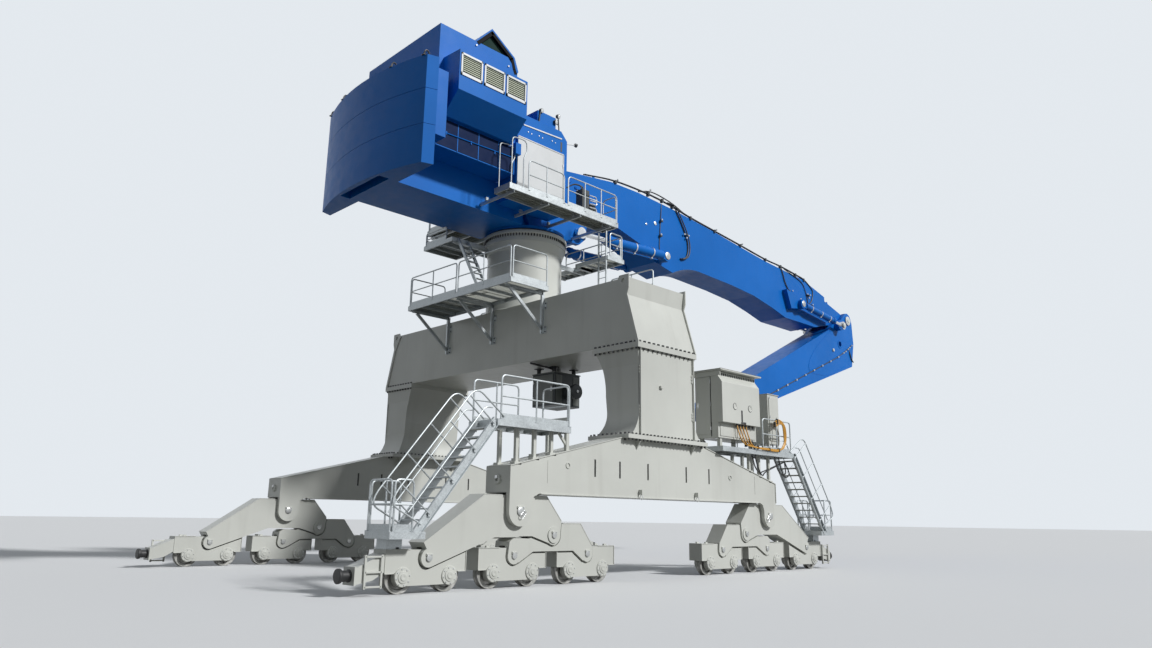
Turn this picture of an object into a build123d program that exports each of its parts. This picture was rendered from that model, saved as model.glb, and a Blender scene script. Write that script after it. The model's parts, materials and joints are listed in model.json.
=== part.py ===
"""Rail-portal port material handler, as an assembly of separate pieces.

The origin lies on the ground under the slewing axis. +X runs along the rails
towards the boom, +Y across the portal to its left side, and +Z is up. All
sizes are millimetres. "Right" is -Y and "front" is +X.
"""
import math
import os

from build123d import *

os.makedirs("parts", exist_ok=True)

# Rails, wheels and bogies
RAIL_Y = 6200
WHEEL_FLANGE_R = 370
WHEEL_TREAD_R = 338
WHEEL_WIDTH = 180
WHEEL_FLANGE = 28
AXLE_R = 85
HUB_R = 220
HUB_PROUD = 30
HUB_BOSS_R = 105
BOGIE_BASE = 1254
BOGIE_HALF = 1075
BOGIE_WIDTH = 460
BOGIE_TOP = 950
BOGIE_STEP = 460
BOGIE_FLOOR = 180
POCKET_GAP = 20
RUN_GAP = 0.5
FORK_GAP = 12
NOTCH_GAP = 45

# Pivot pins of the balancers, from the middle of the machine, as x and z
PIN_A = (5675, 1830)
PIN_B = (4395, 1250)
PIN_OUTER = (8230, 765)
PIN_MIDDLE = (5680, 760)
PIN_INNER = (3110, 760)
PIN_R = 80
BIG_PIN_R = 110
PIN_CAP = 25
LUG_WIDTH = 200
SUB_WIDTH = 540
MAIN_WIDTH = 600
NOSE_R = 205
PIN_B_RING_R = 250
RING_PROUD = 30
MAIN_NOSE_TOP = 1094
MAIN_FLAT_OUT = 6666
MAIN_FLAT_IN = 4661
MAIN_FLAT_Z = 2215
MAIN_UNDER_Z = 1225
SUB_TOP = 1535
SUB_FLAT_IN = 3375
SUB_UNDER_Z = 850

# Buffers
BUFFER_PLATE_X = 10000
BUFFER_PLATE = 40
BUFFER_FACE_X = 10330
BUFFER_Z = 430
BUFFER_R = 160

# Side beams, columns and cross beam
BEAM_WIDTH = 900
BEAM_BOTTOM = 2280
BEAM_TOP = 3930
BEAM_END_TOP = 2930
BEAM_HALF = 6040
BEAM_FLAT = 1940
LUG_R = 365
LUG_FILLET = 260
SLOT_XS = (-3010, -2000, -780, 1030, 2200)
SLOT_WIDTH = 70
SLOT_HEIGHT = 470
SLOT_Z = 3020
RECESS = 40
GUSSET_DROP = 300
GUSSET_INSET = 20
GUSSET_THICK = 30
TOWER_POST_X = 4050
TOWER_POST_Y = (-6580, -5850)
TOWER_POST = 100
TOWER_POST_TOP = 4310
COLUMN_HALF = 1290
COLUMN_OUT = 6770
COLUMN_IN = 5430
COLUMN_FLARE = 1640
COLUMN_IN_TOP = 5040
FLARE_HEIGHT = 900
FLANGE_LOW_HALF = 1880
FLANGE_LOW_OUT = 6870
FLANGE_LOW_IN = 5260
FLANGE_THICK = 120
FLANGE_TOP_HALF = 1415
FLANGE_TOP_OUT = 6845
FLANGE_TOP_IN = 4990
FLANGE_TOP_Z = 6650
FLANGE_TOP_THICK = 160
CROSS_HALF = 1370
CROSS_TOP = 8890
CROSS_BREAK_Z = 8350
CROSS_BREAK_Y = 6345
CROSS_TOP_Y = 6410

# Pedestal and slewing ring
PEDESTAL_R = 1390
PEDESTAL_FLANGE_R = 1530
PEDESTAL_TOP = 11560
PEDESTAL_FLANGE = 130
RING_R = 1450
RING_TOP = 11900
RING_GAP = 0.5

# Walkways, stairs and rails
RAIL_HEIGHT = 1100
RAIL_R = 24
POST_R = 21
POST_INSET = 45
THIN_SIDES = 6
SEAT = 0.05
TOE_HEIGHT = 150
TOE_THICK = 12
GRATING = 40
FRAME_DEEP = 120
WALK_X0 = -3100
WALK_X1 = -1450
WALK_HALF_Y = 2930
WALK_Z = 9237
MID_DECK_Z = 4020
REAR_PLATFORM_X = (-3050, -1560)
REAR_PLATFORM_Y = (450, 2200)
REAR_PLATFORM_Z = 11410
FRONT_PLATFORM_X = (1260, 2150)
FRONT_PLATFORM_Y = (-3100, 0)
FRONT_PLATFORM_Z = 10960
FRONT_PLATFORM_STEP = -1450
PLATFORM_CLEAR = 170
BEARER_DEEP = 150
BEARER_WIDE = 80
RUNG_PITCH = 250
ACCESS_LADDER_X = -2620
ACCESS_LADDER_Y = -920
ACCESS_LADDER_WIDE = 440
PORTAL_LADDER_X = 1250
PORTAL_LADDER_Y = (-3050, -2650)
PORTAL_LADDER_TOP = 11900
PORTAL_LADDER_RUNGS = 7
LOW_DECK_Z = 1350

# Upper carriage
FRAME_BOTTOM = 11960
FRAME_TOP = 13150
FRAME_HALF = 1200
FRAME_REAR = -6750
FRAME_FRONT = 1950
CHEEK_IN = 820
CHEEK_OUT = 985
WEIGHT_LEVELS = (11960, 13250, 14430, 15550)
WEIGHT_SEAM = 14
WEIGHT_CORNER = (-6780, 2990)
WEIGHT_FRONT = (-6420, 3110)
WEIGHT_REAR_X = -7280
WEIGHT_POCKET_WALL = 170
WEIGHT_POCKET_TOP = 12600
HOUSE_REAR = -5830
HOUSE_FRONT = -2500
HOUSE_HALF = 2200
HOUSE_TOP = 17450
HOUSE_BOTTOM = 13150
BOX_REAR = -5640
BOX_FRONT = -2780
BOX_Y = -3100
BOX_TOP = 16200
BOX_LOW = 14800
BOX_HEEL_Z = 14150
CABIN_REAR = -2410
CABIN_FRONT = 0
CABIN_OUT = -2200
CABIN_IN = -1200
CABIN_TOP = 15560
SIDE_WALK_Z = 12350
SIDE_WALK_X0 = -3340
SIDE_WALK_X1 = 1930
SIDE_WALK_Y = -3000

# Operator's cab on the left side
CAB_X0 = 250
CAB_X1 = 2650
CAB_Y0 = 1500
CAB_Y1 = 3350
CAB_Z0 = 12420
CAB_Z1 = 15150
CAB_WALL = 60
CAB_NOSE = 900
CAB_BROW = 250
CAB_CHIN = 350
SCREEN_SIDE = 140
SCREEN_SILL = 250
SCREEN_HEAD = 160
DOOR_WIDTH = 900
DOOR_GAP = 8
GLASS = 12
PANE_IN = 20
DOOR_INSET = 180
HINGE_X = CAB_X0 + DOOR_INSET
HINGE_R = 18
HINGE_Y = CAB_Y1 + HINGE_R + 2
HINGE_LEVELS = (CAB_Z0 + 450, CAB_Z0 + 2050)
HINGE_PIN_R = 8
KNUCKLE = 60
HINGE_FIT = 0.3
LEAF = 8

# Boom, stick and cylinders
FOOT = (1800, 14100)
FOOT_PIN_R = 130
TIP = (24050, 12970)
TIP_PIN_R = 150
BOOM_HALF = 750
BOOM_TIP_HALF = 520
CYL_Y = 1110
CYL_EYE_WIDTH = 190
EYE_GAP = 6
BOOM_EYE = (7080, 12740)
BOOM_BASE = (1860, 12430)
BOOM_BARREL_R = 205
BOOM_ROD_R = 95
STICK_BASE = (18400, 12820)
STICK_EYE = (22700, 12400)
STICK_BARREL_R = 160
STICK_ROD_R = 85
EYE_R = 250
BOSS_R = 235
CYL_PIN_R = 90
STICK_HALF = 740
STICK_TIP = (10900, 6400)
THROAT_R = 1180
TIP_BORE_R = 100
TIP_BOSS_R = 330

ENDS = (("rear", -1), ("front", 1))
SIDES = (("right", -1), ("left", 1))


def side_plane(y):
    """The plane facing -Y at this y, with its own axes along X and Z."""
    return Plane.XZ.offset(-y)


def section_plane(x):
    """The plane facing +X at this x, with its own axes along Y and Z."""
    return Plane.YZ.offset(x)


def prism(points, plane, half=None, amount=None, mode=Mode.ADD):
    """Extrude a closed outline, by half to both sides or by amount to one."""
    with BuildSketch(plane) as outline:
        with BuildLine():
            Polyline(*points, close=True)
        make_face()
    if half is not None:
        extrude(outline.sketch, amount=half, both=True, mode=mode)
    else:
        extrude(outline.sketch, amount=amount, mode=mode)


def block(x0, x1, y0, y1, z0, z1, mode=Mode.ADD):
    """A box between six limits."""
    centre = ((x0 + x1) / 2, (y0 + y1) / 2, (z0 + z1) / 2)
    with Locations(centre):
        Box(abs(x1 - x0), abs(y1 - y0), abs(z1 - z0), mode=mode)


def bar(start, end, radius, mode=Mode.ADD):
    """A round bar between two points."""
    way = Vector(*end) - Vector(*start)
    with BuildSketch(Plane(origin=start, z_dir=way)) as section:
        Circle(radius)
    extrude(section.sketch, amount=way.length, mode=mode)


def thin_tube(start, end, radius):
    """A thin rail, post or rung between two points, drawn with few faces."""
    way = Vector(*end) - Vector(*start)
    with BuildSketch(Plane(origin=start, z_dir=way)) as section:
        RegularPolygon(radius, THIN_SIDES)
    extrude(section.sketch, amount=way.length)


def strip(start, end, wide, deep, across=(0, 1, 0)):
    """A bar of rectangular section; its width lies along across."""
    way = Vector(*end) - Vector(*start)
    with BuildSketch(Plane(origin=start, x_dir=across, z_dir=way)) as section:
        Rectangle(wide, deep)
    extrude(section.sketch, amount=way.length)


def pin(x, z, y0, y1, radius, mode=Mode.ADD):
    """A cylinder along Y between y0 and y1."""
    bar((x, y0, z), (x, y1, z), radius, mode)


def railing(start, end, posts, height=RAIL_HEIGHT, toe=True):
    """A guard rail on a straight edge: top rail, knee rail, posts, toe board."""
    foot = Vector(*start)
    way = Vector(*end) - foot
    for level in (height, height * 0.52):
        lift = Vector(0, 0, level - RAIL_R)
        thin_tube(foot + lift, foot + way + lift, RAIL_R)
    margin = way * (POST_INSET / way.length)
    for number in range(posts):
        base = foot + margin + (way - margin * 2) * (number / (posts - 1))
        thin_tube(base, base + Vector(0, 0, height - RAIL_R), POST_R)
    if toe:
        level = way.cross(Vector(0, 0, 1))
        middle = Vector(0, 0, TOE_HEIGHT / 2)
        strip(foot + middle, foot + way + middle, TOE_THICK, TOE_HEIGHT, across=level)


def write(piece, label):
    """Label a finished piece and write it as its own STEP file."""
    piece.part.label = label
    export_step(piece.part, f"parts/{label}.step")
    print(label, round(piece.part.volume / 1e9, 3), "m3")


# Side outlines of the front half, drawn at y = 0; the rear half is their mirror image


def main_face():
    """The side of a main balancer: two round noses under a long slanted box."""
    b_x, b_z = PIN_B
    d_x, d_z = PIN_OUTER
    with BuildSketch(side_plane(0)) as face:
        with BuildLine():
            Polyline(
                (d_x, d_z + NOSE_R * 0.4),
                (d_x + 150, MAIN_NOSE_TOP),
                (MAIN_FLAT_OUT, MAIN_FLAT_Z),
                (MAIN_FLAT_IN, MAIN_FLAT_Z),
                (b_x - 285, b_z + 350),
                (b_x - 240, b_z),
                (b_x, b_z),
                (b_x + 120, b_z - 210),
                (b_x + 730, MAIN_UNDER_Z),
                (b_x + 1895, MAIN_UNDER_Z),
                (d_x - 70, d_z - NOSE_R * 0.94),
                close=True,
            )
        make_face()
        with Locations((d_x, d_z)):
            Circle(NOSE_R)
        with Locations((b_x, b_z)):
            Circle(PIN_B_RING_R)
    return face.sketch


def sub_face():
    """The side of a sub-balancer: low over the middle bogie, high at its pin."""
    c_x, c_z = PIN_MIDDLE
    e_x, e_z = PIN_INNER
    b_x, b_z = PIN_B
    with BuildSketch(side_plane(0)) as face:
        with BuildLine():
            Polyline(
                (c_x + NOSE_R, c_z),
                (c_x + 160, c_z + 340),
                (c_x + 20, c_z + 427),
                (b_x + 805, c_z + 407),
                (b_x + 305, b_z + 80),
                (b_x + 165, SUB_TOP),
                (SUB_FLAT_IN, SUB_TOP),
                (e_x - 190, e_z + 200),
                (e_x - NOSE_R, e_z),
                (e_x, e_z - 60),
                (e_x + 150, e_z - NOSE_R * 0.85),
                (e_x + 530, SUB_UNDER_Z),
                (c_x - 620, SUB_UNDER_Z),
                (c_x - 150, c_z - NOSE_R * 0.8),
                (c_x, c_z - 60),
                close=True,
            )
        make_face()
        for pin_at in (PIN_MIDDLE, PIN_INNER):
            with Locations(pin_at):
                Circle(NOSE_R)
    return face.sketch


def bogie_face(x):
    """The side of a bogie: a long top plate, stepped in to the axle boxes."""
    axles = BOGIE_BASE / 2
    with BuildSketch(side_plane(0)) as face:
        with BuildLine():
            Polyline(
                (x - BOGIE_HALF, BOGIE_STEP),
                (x - BOGIE_HALF, BOGIE_TOP),
                (x + BOGIE_HALF, BOGIE_TOP),
                (x + BOGIE_HALF, BOGIE_STEP),
                (x + axles, BOGIE_STEP),
                (x + axles, BOGIE_FLOOR),
                (x - axles, BOGIE_FLOOR),
                (x - axles, BOGIE_STEP),
                close=True,
            )
        make_face()
        with Locations((x - axles, WHEEL_FLANGE_R), (x + axles, WHEEL_FLANGE_R)):
            Circle(HUB_R)
    return face.sketch


def beam_face():
    """The side of a side beam: flat over the columns, sloping to both ends."""
    with BuildSketch(side_plane(0)) as face:
        with BuildLine():
            Polyline(
                (-BEAM_HALF, BEAM_BOTTOM),
                (-BEAM_HALF, BEAM_END_TOP),
                (-BEAM_FLAT, BEAM_TOP),
                (BEAM_FLAT, BEAM_TOP),
                (BEAM_HALF, BEAM_END_TOP),
                (BEAM_HALF, BEAM_BOTTOM),
                close=True,
            )
        make_face()
    return face.sketch


def lug_face():
    """A side beam's lug: round under its pin and curved into the beam inside."""
    a_x, a_z = PIN_A
    inner = a_x - LUG_R
    with BuildSketch(side_plane(0)) as face:
        with BuildLine():
            Polyline(
                (inner, a_z),
                (inner, BEAM_BOTTOM - LUG_FILLET),
                (inner - LUG_FILLET * 0.3, BEAM_BOTTOM - LUG_FILLET * 0.3),
                (inner - LUG_FILLET, BEAM_BOTTOM),
                (a_x + LUG_R, BEAM_BOTTOM),
                (a_x + LUG_R, a_z),
                close=True,
            )
        make_face()
        with Locations(PIN_A):
            Circle(LUG_R)
    return face.sketch


def column_front_face():
    """A column seen along Y: a straight shaft over a foot that flares by an arc."""
    low = BEAM_TOP + FLANGE_THICK
    neck = low + FLARE_HEIGHT
    head = FLANGE_TOP_Z - 500
    with BuildSketch(side_plane(0)) as face:
        with BuildLine() as edge:
            Line((0, low), (COLUMN_FLARE, low))
            ThreePointArc(
                (COLUMN_FLARE, low), (COLUMN_HALF + 90, low + FLARE_HEIGHT * 0.42), (COLUMN_HALF, neck)
            )
            Polyline(
                (COLUMN_HALF, neck), (COLUMN_HALF, head), (COLUMN_HALF + 60, FLANGE_TOP_Z), (0, FLANGE_TOP_Z)
            )
            mirror(edge.line, about=Plane.YZ)
        make_face()
    return face.sketch


def column_side_face():
    """A column seen along X: upright outside, hollowed by two arcs inside."""
    low = BEAM_TOP + FLANGE_THICK
    with BuildSketch(section_plane(0)) as face:
        with BuildLine():
            Polyline((COLUMN_IN - 90, low), (COLUMN_OUT, low), (COLUMN_OUT, FLANGE_TOP_Z), (COLUMN_IN_TOP, FLANGE_TOP_Z))
            ThreePointArc((COLUMN_IN_TOP, FLANGE_TOP_Z), (COLUMN_IN - 90, 5990), (COLUMN_IN, 5300))
            Line((COLUMN_IN, 5300), (COLUMN_IN + 60, 4700))
            ThreePointArc((COLUMN_IN + 60, 4700), (COLUMN_IN + 30, 4350), (COLUMN_IN - 90, low))
        make_face()
    return face.sketch


def grown(face, gap):
    """A copy of a side outline, larger all round by gap."""
    with BuildSketch(side_plane(0)) as wider:
        add(face)
        offset(amount=gap)
    return wider.sketch


def across(face, inner, outer, mode=Mode.ADD):
    """A side outline carried along +Y from inner to outer."""
    extrude(Pos(0, inner, 0) * face, amount=outer - inner, dir=(0, 1, 0), mode=mode)


def cheeks(face, inner, outer, mode=Mode.ADD):
    """Two plates of one outline on both sides of the rail, inner to outer from it."""
    across(face, RAIL_Y + inner, RAIL_Y + outer, mode)
    across(face, RAIL_Y - outer, RAIL_Y - inner, mode)


def core(face, half, mode=Mode.ADD):
    """One slab of an outline, centred on the rail."""
    across(face, RAIL_Y - half, RAIL_Y + half, mode)


def four_corners():
    """Repeat what is drawn at the front left at the other three corners."""
    mirror(about=Plane.YZ)
    mirror(about=Plane.XZ)


# Bogie, and the outline of the balancer whose nose it carries
BOGIES = ((PIN_OUTER, main_face), (PIN_MIDDLE, sub_face), (PIN_INNER, sub_face))

# The 24 wheels: a double-flanged rim, a dished web and a hub on a fixed axle
for side_name, sy in SIDES:
    for end_name, sx in ENDS:
        number = 0
        for (bogie_x, _), _ in BOGIES:
            for way in (1, -1):
                number += 1
                wheel_x = sx * (bogie_x + way * BOGIE_BASE / 2)
                centre = (wheel_x, sy * RAIL_Y, WHEEL_FLANGE_R)
                half = WHEEL_WIDTH / 2
                with BuildPart() as wheel:
                    with BuildSketch(Plane(origin=centre, x_dir=(1, 0, 0), z_dir=(0, 0, sy))):
                        with BuildLine():
                            Polyline(
                                (AXLE_R + RUN_GAP, -half),
                                (WHEEL_FLANGE_R, -half),
                                (WHEEL_FLANGE_R, WHEEL_FLANGE - half),
                                (WHEEL_TREAD_R, WHEEL_FLANGE + 8 - half),
                                (WHEEL_TREAD_R, half - WHEEL_FLANGE - 8),
                                (WHEEL_FLANGE_R, half - WHEEL_FLANGE),
                                (WHEEL_FLANGE_R, half),
                                (WHEEL_TREAD_R - 60, half),
                                (WHEEL_TREAD_R - 80, half - 60),
                                (AXLE_R + 45, half - 60),
                                (AXLE_R + RUN_GAP, half - 40),
                                close=True,
                            )
                        make_face()
                    revolve(axis=Axis(centre, (0, 1, 0)))
                write(wheel, f"wheel_{end_name}_{side_name}_{number}")

# Bogie frames: a box with a pocket for each wheel, a notch for the nose above
# it, axle boxes with their round covers, and the two fixed axles
pocket_half = WHEEL_WIDTH / 2 + POCKET_GAP
cover_half = BOGIE_WIDTH / 2 + HUB_PROUD
with BuildPart() as bogie_frames:
    for (bogie_x, bogie_z), nose in BOGIES:
        core(bogie_face(bogie_x), BOGIE_WIDTH / 2)
        for way in (-1, 1):
            hub_x = bogie_x + way * BOGIE_BASE / 2
            block(
                hub_x - way * (WHEEL_FLANGE_R + POCKET_GAP), bogie_x + way * (BOGIE_HALF + 1),
                RAIL_Y - pocket_half, RAIL_Y + pocket_half,
                0, 2 * WHEEL_FLANGE_R + POCKET_GAP, Mode.SUBTRACT,
            )
            for outer in (-1, 1):
                start = RAIL_Y + outer * pocket_half
                pin(hub_x, WHEEL_FLANGE_R, start, RAIL_Y + outer * cover_half, HUB_BOSS_R + 40)
            pin(hub_x, WHEEL_FLANGE_R, RAIL_Y - cover_half, RAIL_Y + cover_half, AXLE_R)
        cheeks(grown(nose(), NOTCH_GAP), LUG_WIDTH / 2, MAIN_WIDTH / 2, Mode.SUBTRACT)
        pin(bogie_x, bogie_z, RAIL_Y - BOGIE_WIDTH, RAIL_Y + BOGIE_WIDTH, PIN_R + RUN_GAP, Mode.SUBTRACT)
    four_corners()
write(bogie_frames, "bogie_frames")

# Sub-balancers: forks over the middle and inner bogies, notched for the nose above
with BuildPart() as sub_balancers:
    core(sub_face(), SUB_WIDTH / 2)
    for bogie_x, _ in (PIN_MIDDLE, PIN_INNER):
        core(grown(bogie_face(bogie_x), NOTCH_GAP), LUG_WIDTH / 2 + FORK_GAP, Mode.SUBTRACT)
    cheeks(grown(main_face(), NOTCH_GAP), LUG_WIDTH / 2, MAIN_WIDTH / 2, Mode.SUBTRACT)
    for pin_x, pin_z in (PIN_MIDDLE, PIN_INNER, PIN_B):
        pin(pin_x, pin_z, RAIL_Y - SUB_WIDTH, RAIL_Y + SUB_WIDTH, PIN_R + RUN_GAP, Mode.SUBTRACT)
    four_corners()
write(sub_balancers, "sub_balancers")

# Main balancers: forks over the outer bogie and over the sub-balancer
with BuildPart() as main_balancers:
    core(main_face(), MAIN_WIDTH / 2)
    for start in (MAIN_WIDTH / 2, -MAIN_WIDTH / 2 - RING_PROUD):
        pin(PIN_B[0], PIN_B[1], RAIL_Y + start, RAIL_Y + start + RING_PROUD, PIN_B_RING_R * 0.8)
    for slot in (bogie_face(PIN_OUTER[0]), sub_face()):
        core(grown(slot, NOTCH_GAP), LUG_WIDTH / 2 + FORK_GAP, Mode.SUBTRACT)
    for (pin_x, pin_z), radius in ((PIN_OUTER, PIN_R), (PIN_B, PIN_R), (PIN_A, BIG_PIN_R)):
        pin(pin_x, pin_z, RAIL_Y - MAIN_WIDTH, RAIL_Y + MAIN_WIDTH, radius + RUN_GAP, Mode.SUBTRACT)
    four_corners()
write(main_balancers, "main_balancers")

# Pivot pins: place, radius and half of the width that they pass through
PIN_TABLE = (
    (PIN_OUTER, PIN_R, MAIN_WIDTH / 2),
    (PIN_B, PIN_R, MAIN_WIDTH / 2 + RING_PROUD),
    (PIN_MIDDLE, PIN_R, SUB_WIDTH / 2),
    (PIN_INNER, PIN_R, SUB_WIDTH / 2),
    (PIN_A, BIG_PIN_R, BEAM_WIDTH / 2),
)
with BuildPart() as balancer_pins:
    for (pin_x, pin_z), radius, half in PIN_TABLE:
        reach = half + PIN_CAP
        pin(pin_x, pin_z, RAIL_Y - reach, RAIL_Y + reach, radius)
    four_corners()
write(balancer_pins, "balancer_pins")

# Buffer brackets on the outermost bogies, and the round buffers
bracket_x0 = PIN_OUTER[0] + BOGIE_HALF
bracket_half = BOGIE_WIDTH / 2
with BuildPart() as buffer_brackets:
    for way in (-1, 1):
        prism(
            (
                (bracket_x0, 500), (bracket_x0, 900), (BUFFER_PLATE_X, 600),
                (BUFFER_PLATE_X, 260), (BUFFER_PLATE_X - 400, 330),
            ),
            side_plane(RAIL_Y + way * (bracket_half - 20)), half=20,
        )
    prism(
        ((bracket_x0, 880), (bracket_x0, 900), (BUFFER_PLATE_X, 600), (BUFFER_PLATE_X, 580)),
        side_plane(RAIL_Y), half=bracket_half,
    )
    block(
        BUFFER_PLATE_X, BUFFER_PLATE_X + BUFFER_PLATE, RAIL_Y - bracket_half, RAIL_Y + bracket_half, 240, 620
    )
    four_corners()
write(buffer_brackets, "buffer_brackets")

with BuildPart() as buffers:
    bar((BUFFER_PLATE_X + BUFFER_PLATE, RAIL_Y, BUFFER_Z), (BUFFER_FACE_X, RAIL_Y, BUFFER_Z), BUFFER_R * 0.8)
    bar((BUFFER_FACE_X - 70, RAIL_Y, BUFFER_Z), (BUFFER_FACE_X, RAIL_Y, BUFFER_Z), BUFFER_R)
    four_corners()
write(buffers, "buffers")

# Side beams: a haunched box with a fork of lugs down over each main balancer
with BuildPart() as side_beams:
    cheeks(lug_face(), MAIN_WIDTH / 2 + FORK_GAP, BEAM_WIDTH / 2)
    pin(PIN_A[0], PIN_A[1], RAIL_Y - BEAM_WIDTH, RAIL_Y + BEAM_WIDTH, BIG_PIN_R + RUN_GAP, Mode.SUBTRACT)
    mirror(about=Plane.YZ)
    core(beam_face(), BEAM_WIDTH / 2)
    for slot_x in SLOT_XS:
        for face_y in (RAIL_Y - BEAM_WIDTH / 2, RAIL_Y + BEAM_WIDTH / 2):
            block(
                slot_x - SLOT_WIDTH / 2, slot_x + SLOT_WIDTH / 2, face_y - RECESS, face_y + RECESS,
                SLOT_Z - SLOT_HEIGHT / 2, SLOT_Z + SLOT_HEIGHT / 2, Mode.SUBTRACT,
            )
    for gusset_x in (-COLUMN_HALF, COLUMN_HALF):
        for beam_y, flange_y, drop in (
            (RAIL_Y + BEAM_WIDTH / 2, FLANGE_LOW_OUT - GUSSET_INSET, GUSSET_DROP),
            (RAIL_Y - BEAM_WIDTH / 2, FLANGE_LOW_IN + GUSSET_INSET, GUSSET_DROP * 1.4),
        ):
            prism(
                ((beam_y, BEAM_TOP), (flange_y, BEAM_TOP), (beam_y, BEAM_TOP - drop)),
                section_plane(gusset_x), half=GUSSET_THICK / 2,
            )
    mirror(about=Plane.XZ)
    for post_y in TOWER_POST_Y:
        block(
            -TOWER_POST_X - TOWER_POST / 2, -TOWER_POST_X + TOWER_POST / 2,
            post_y - TOWER_POST / 2, post_y + TOWER_POST / 2, BEAM_END_TOP + 200, TOWER_POST_TOP,
        )
    block(
        -TOWER_POST_X - TOWER_POST / 2, -TOWER_POST_X + TOWER_POST / 2, TOWER_POST_Y[0], TOWER_POST_Y[1],
        TOWER_POST_TOP - TOWER_POST, TOWER_POST_TOP,
    )
write(side_beams, "side_beams")

# Columns: a box waisted between its flared foot and its wide bolted head
column_foot = BEAM_TOP + FLANGE_THICK
with BuildPart() as columns:
    across(column_front_face(), FLANGE_TOP_IN - 200, COLUMN_OUT + 100)
    extrude(column_side_face(), amount=FLANGE_LOW_HALF, both=True, mode=Mode.INTERSECT)
    block(
        -FLANGE_LOW_HALF, FLANGE_LOW_HALF, FLANGE_LOW_IN, FLANGE_LOW_OUT, BEAM_TOP, column_foot
    )
    block(
        -FLANGE_TOP_HALF, FLANGE_TOP_HALF, FLANGE_TOP_IN, FLANGE_TOP_OUT,
        FLANGE_TOP_Z, FLANGE_TOP_Z + FLANGE_TOP_THICK,
    )
    mirror(about=Plane.XZ)
write(columns, "columns")

# Cross beam: one wide box with slanted ends and lifting lugs at its top corners
CROSS_BOTTOM = FLANGE_TOP_Z + FLANGE_TOP_THICK
LUG_PLATE = 40
with BuildPart() as cross_beam:
    prism(
        (
            (-6800, CROSS_BOTTOM), (-CROSS_BREAK_Y, CROSS_BREAK_Z), (-CROSS_TOP_Y, CROSS_TOP),
            (CROSS_TOP_Y, CROSS_TOP), (CROSS_BREAK_Y, CROSS_BREAK_Z), (6800, CROSS_BOTTOM),
        ),
        section_plane(0), half=CROSS_HALF,
    )
    for sy in (-1, 1):
        for sx in (-1, 1):
            plate_x = sx * (CROSS_HALF + LUG_PLATE / 2)
            with BuildSketch(section_plane(plate_x)) as ear:
                with BuildLine():
                    Polyline(
                        (sy * 6740, CROSS_BOTTOM), (sy * (CROSS_BREAK_Y - 60), CROSS_BREAK_Z),
                        (sy * (CROSS_TOP_Y - 420), CROSS_TOP - 80), (sy * (CROSS_TOP_Y - 330), CROSS_TOP + 90),
                        (sy * (CROSS_TOP_Y + 60), CROSS_TOP + 90), (sy * (CROSS_TOP_Y + 60), CROSS_BREAK_Z + 200),
                        (sy * (CROSS_BREAK_Y + 60), CROSS_BREAK_Z), (sy * 6850, CROSS_BOTTOM),
                        close=True,
                    )
                make_face()
                with Locations((sy * (CROSS_TOP_Y - 170), CROSS_TOP - 90)):
                    Circle(70, mode=Mode.SUBTRACT)
            extrude(ear.sketch, amount=LUG_PLATE / 2, both=True)
write(cross_beam, "cross_beam")

# Pedestal under the slewing ring
with BuildPart() as pedestal:
    with BuildSketch(Plane.XY.offset(CROSS_TOP)):
        Circle(PEDESTAL_R)
    extrude(amount=PEDESTAL_TOP - CROSS_TOP)
    with BuildSketch(Plane.XY.offset(PEDESTAL_TOP - PEDESTAL_FLANGE)):
        Circle(PEDESTAL_FLANGE_R)
    extrude(amount=PEDESTAL_FLANGE)
write(pedestal, "pedestal")

with BuildPart() as slewing_ring:
    with BuildSketch(Plane.XY.offset(PEDESTAL_TOP)):
        Circle(RING_R)
        Circle(RING_R - 260, mode=Mode.SUBTRACT)
    extrude(amount=RING_TOP - PEDESTAL_TOP)
write(slewing_ring, "slewing_ring")

# Beam walkway on the rear face of the cross beam
DECK_BOTTOM = WALK_Z - GRATING - FRAME_DEEP
with BuildPart() as beam_walkway:
    block(WALK_X0, WALK_X1, -WALK_HALF_Y, WALK_HALF_Y, WALK_Z - GRATING, WALK_Z)
    for y in (-WALK_HALF_Y + 40, WALK_HALF_Y - 40):
        block(WALK_X0, WALK_X1, y - 40, y + 40, DECK_BOTTOM, WALK_Z - GRATING)
    for x in (WALK_X0 + 40, WALK_X1 - 60):
        block(x - 40, x + 40, -WALK_HALF_Y, WALK_HALF_Y, DECK_BOTTOM, WALK_Z - GRATING)
    for y in (-2650, 0, 2650):
        block(WALK_X0 + 60, WALK_X1, y - 40, y + 40, DECK_BOTTOM, WALK_Z - GRATING)
        block(WALK_X1 - 70, -CROSS_HALF, y - 40, y + 40, 7700, CROSS_TOP - 60)
        block(WALK_X1 - 70, WALK_X1, y - 40, y + 40, CROSS_TOP - 60, WALK_Z - GRATING)
        strip((WALK_X0 + 250, y, DECK_BOTTOM + 30), (WALK_X1 - 30, y, 7780), 80, 80)
write(beam_walkway, "beam_walkway")

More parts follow.
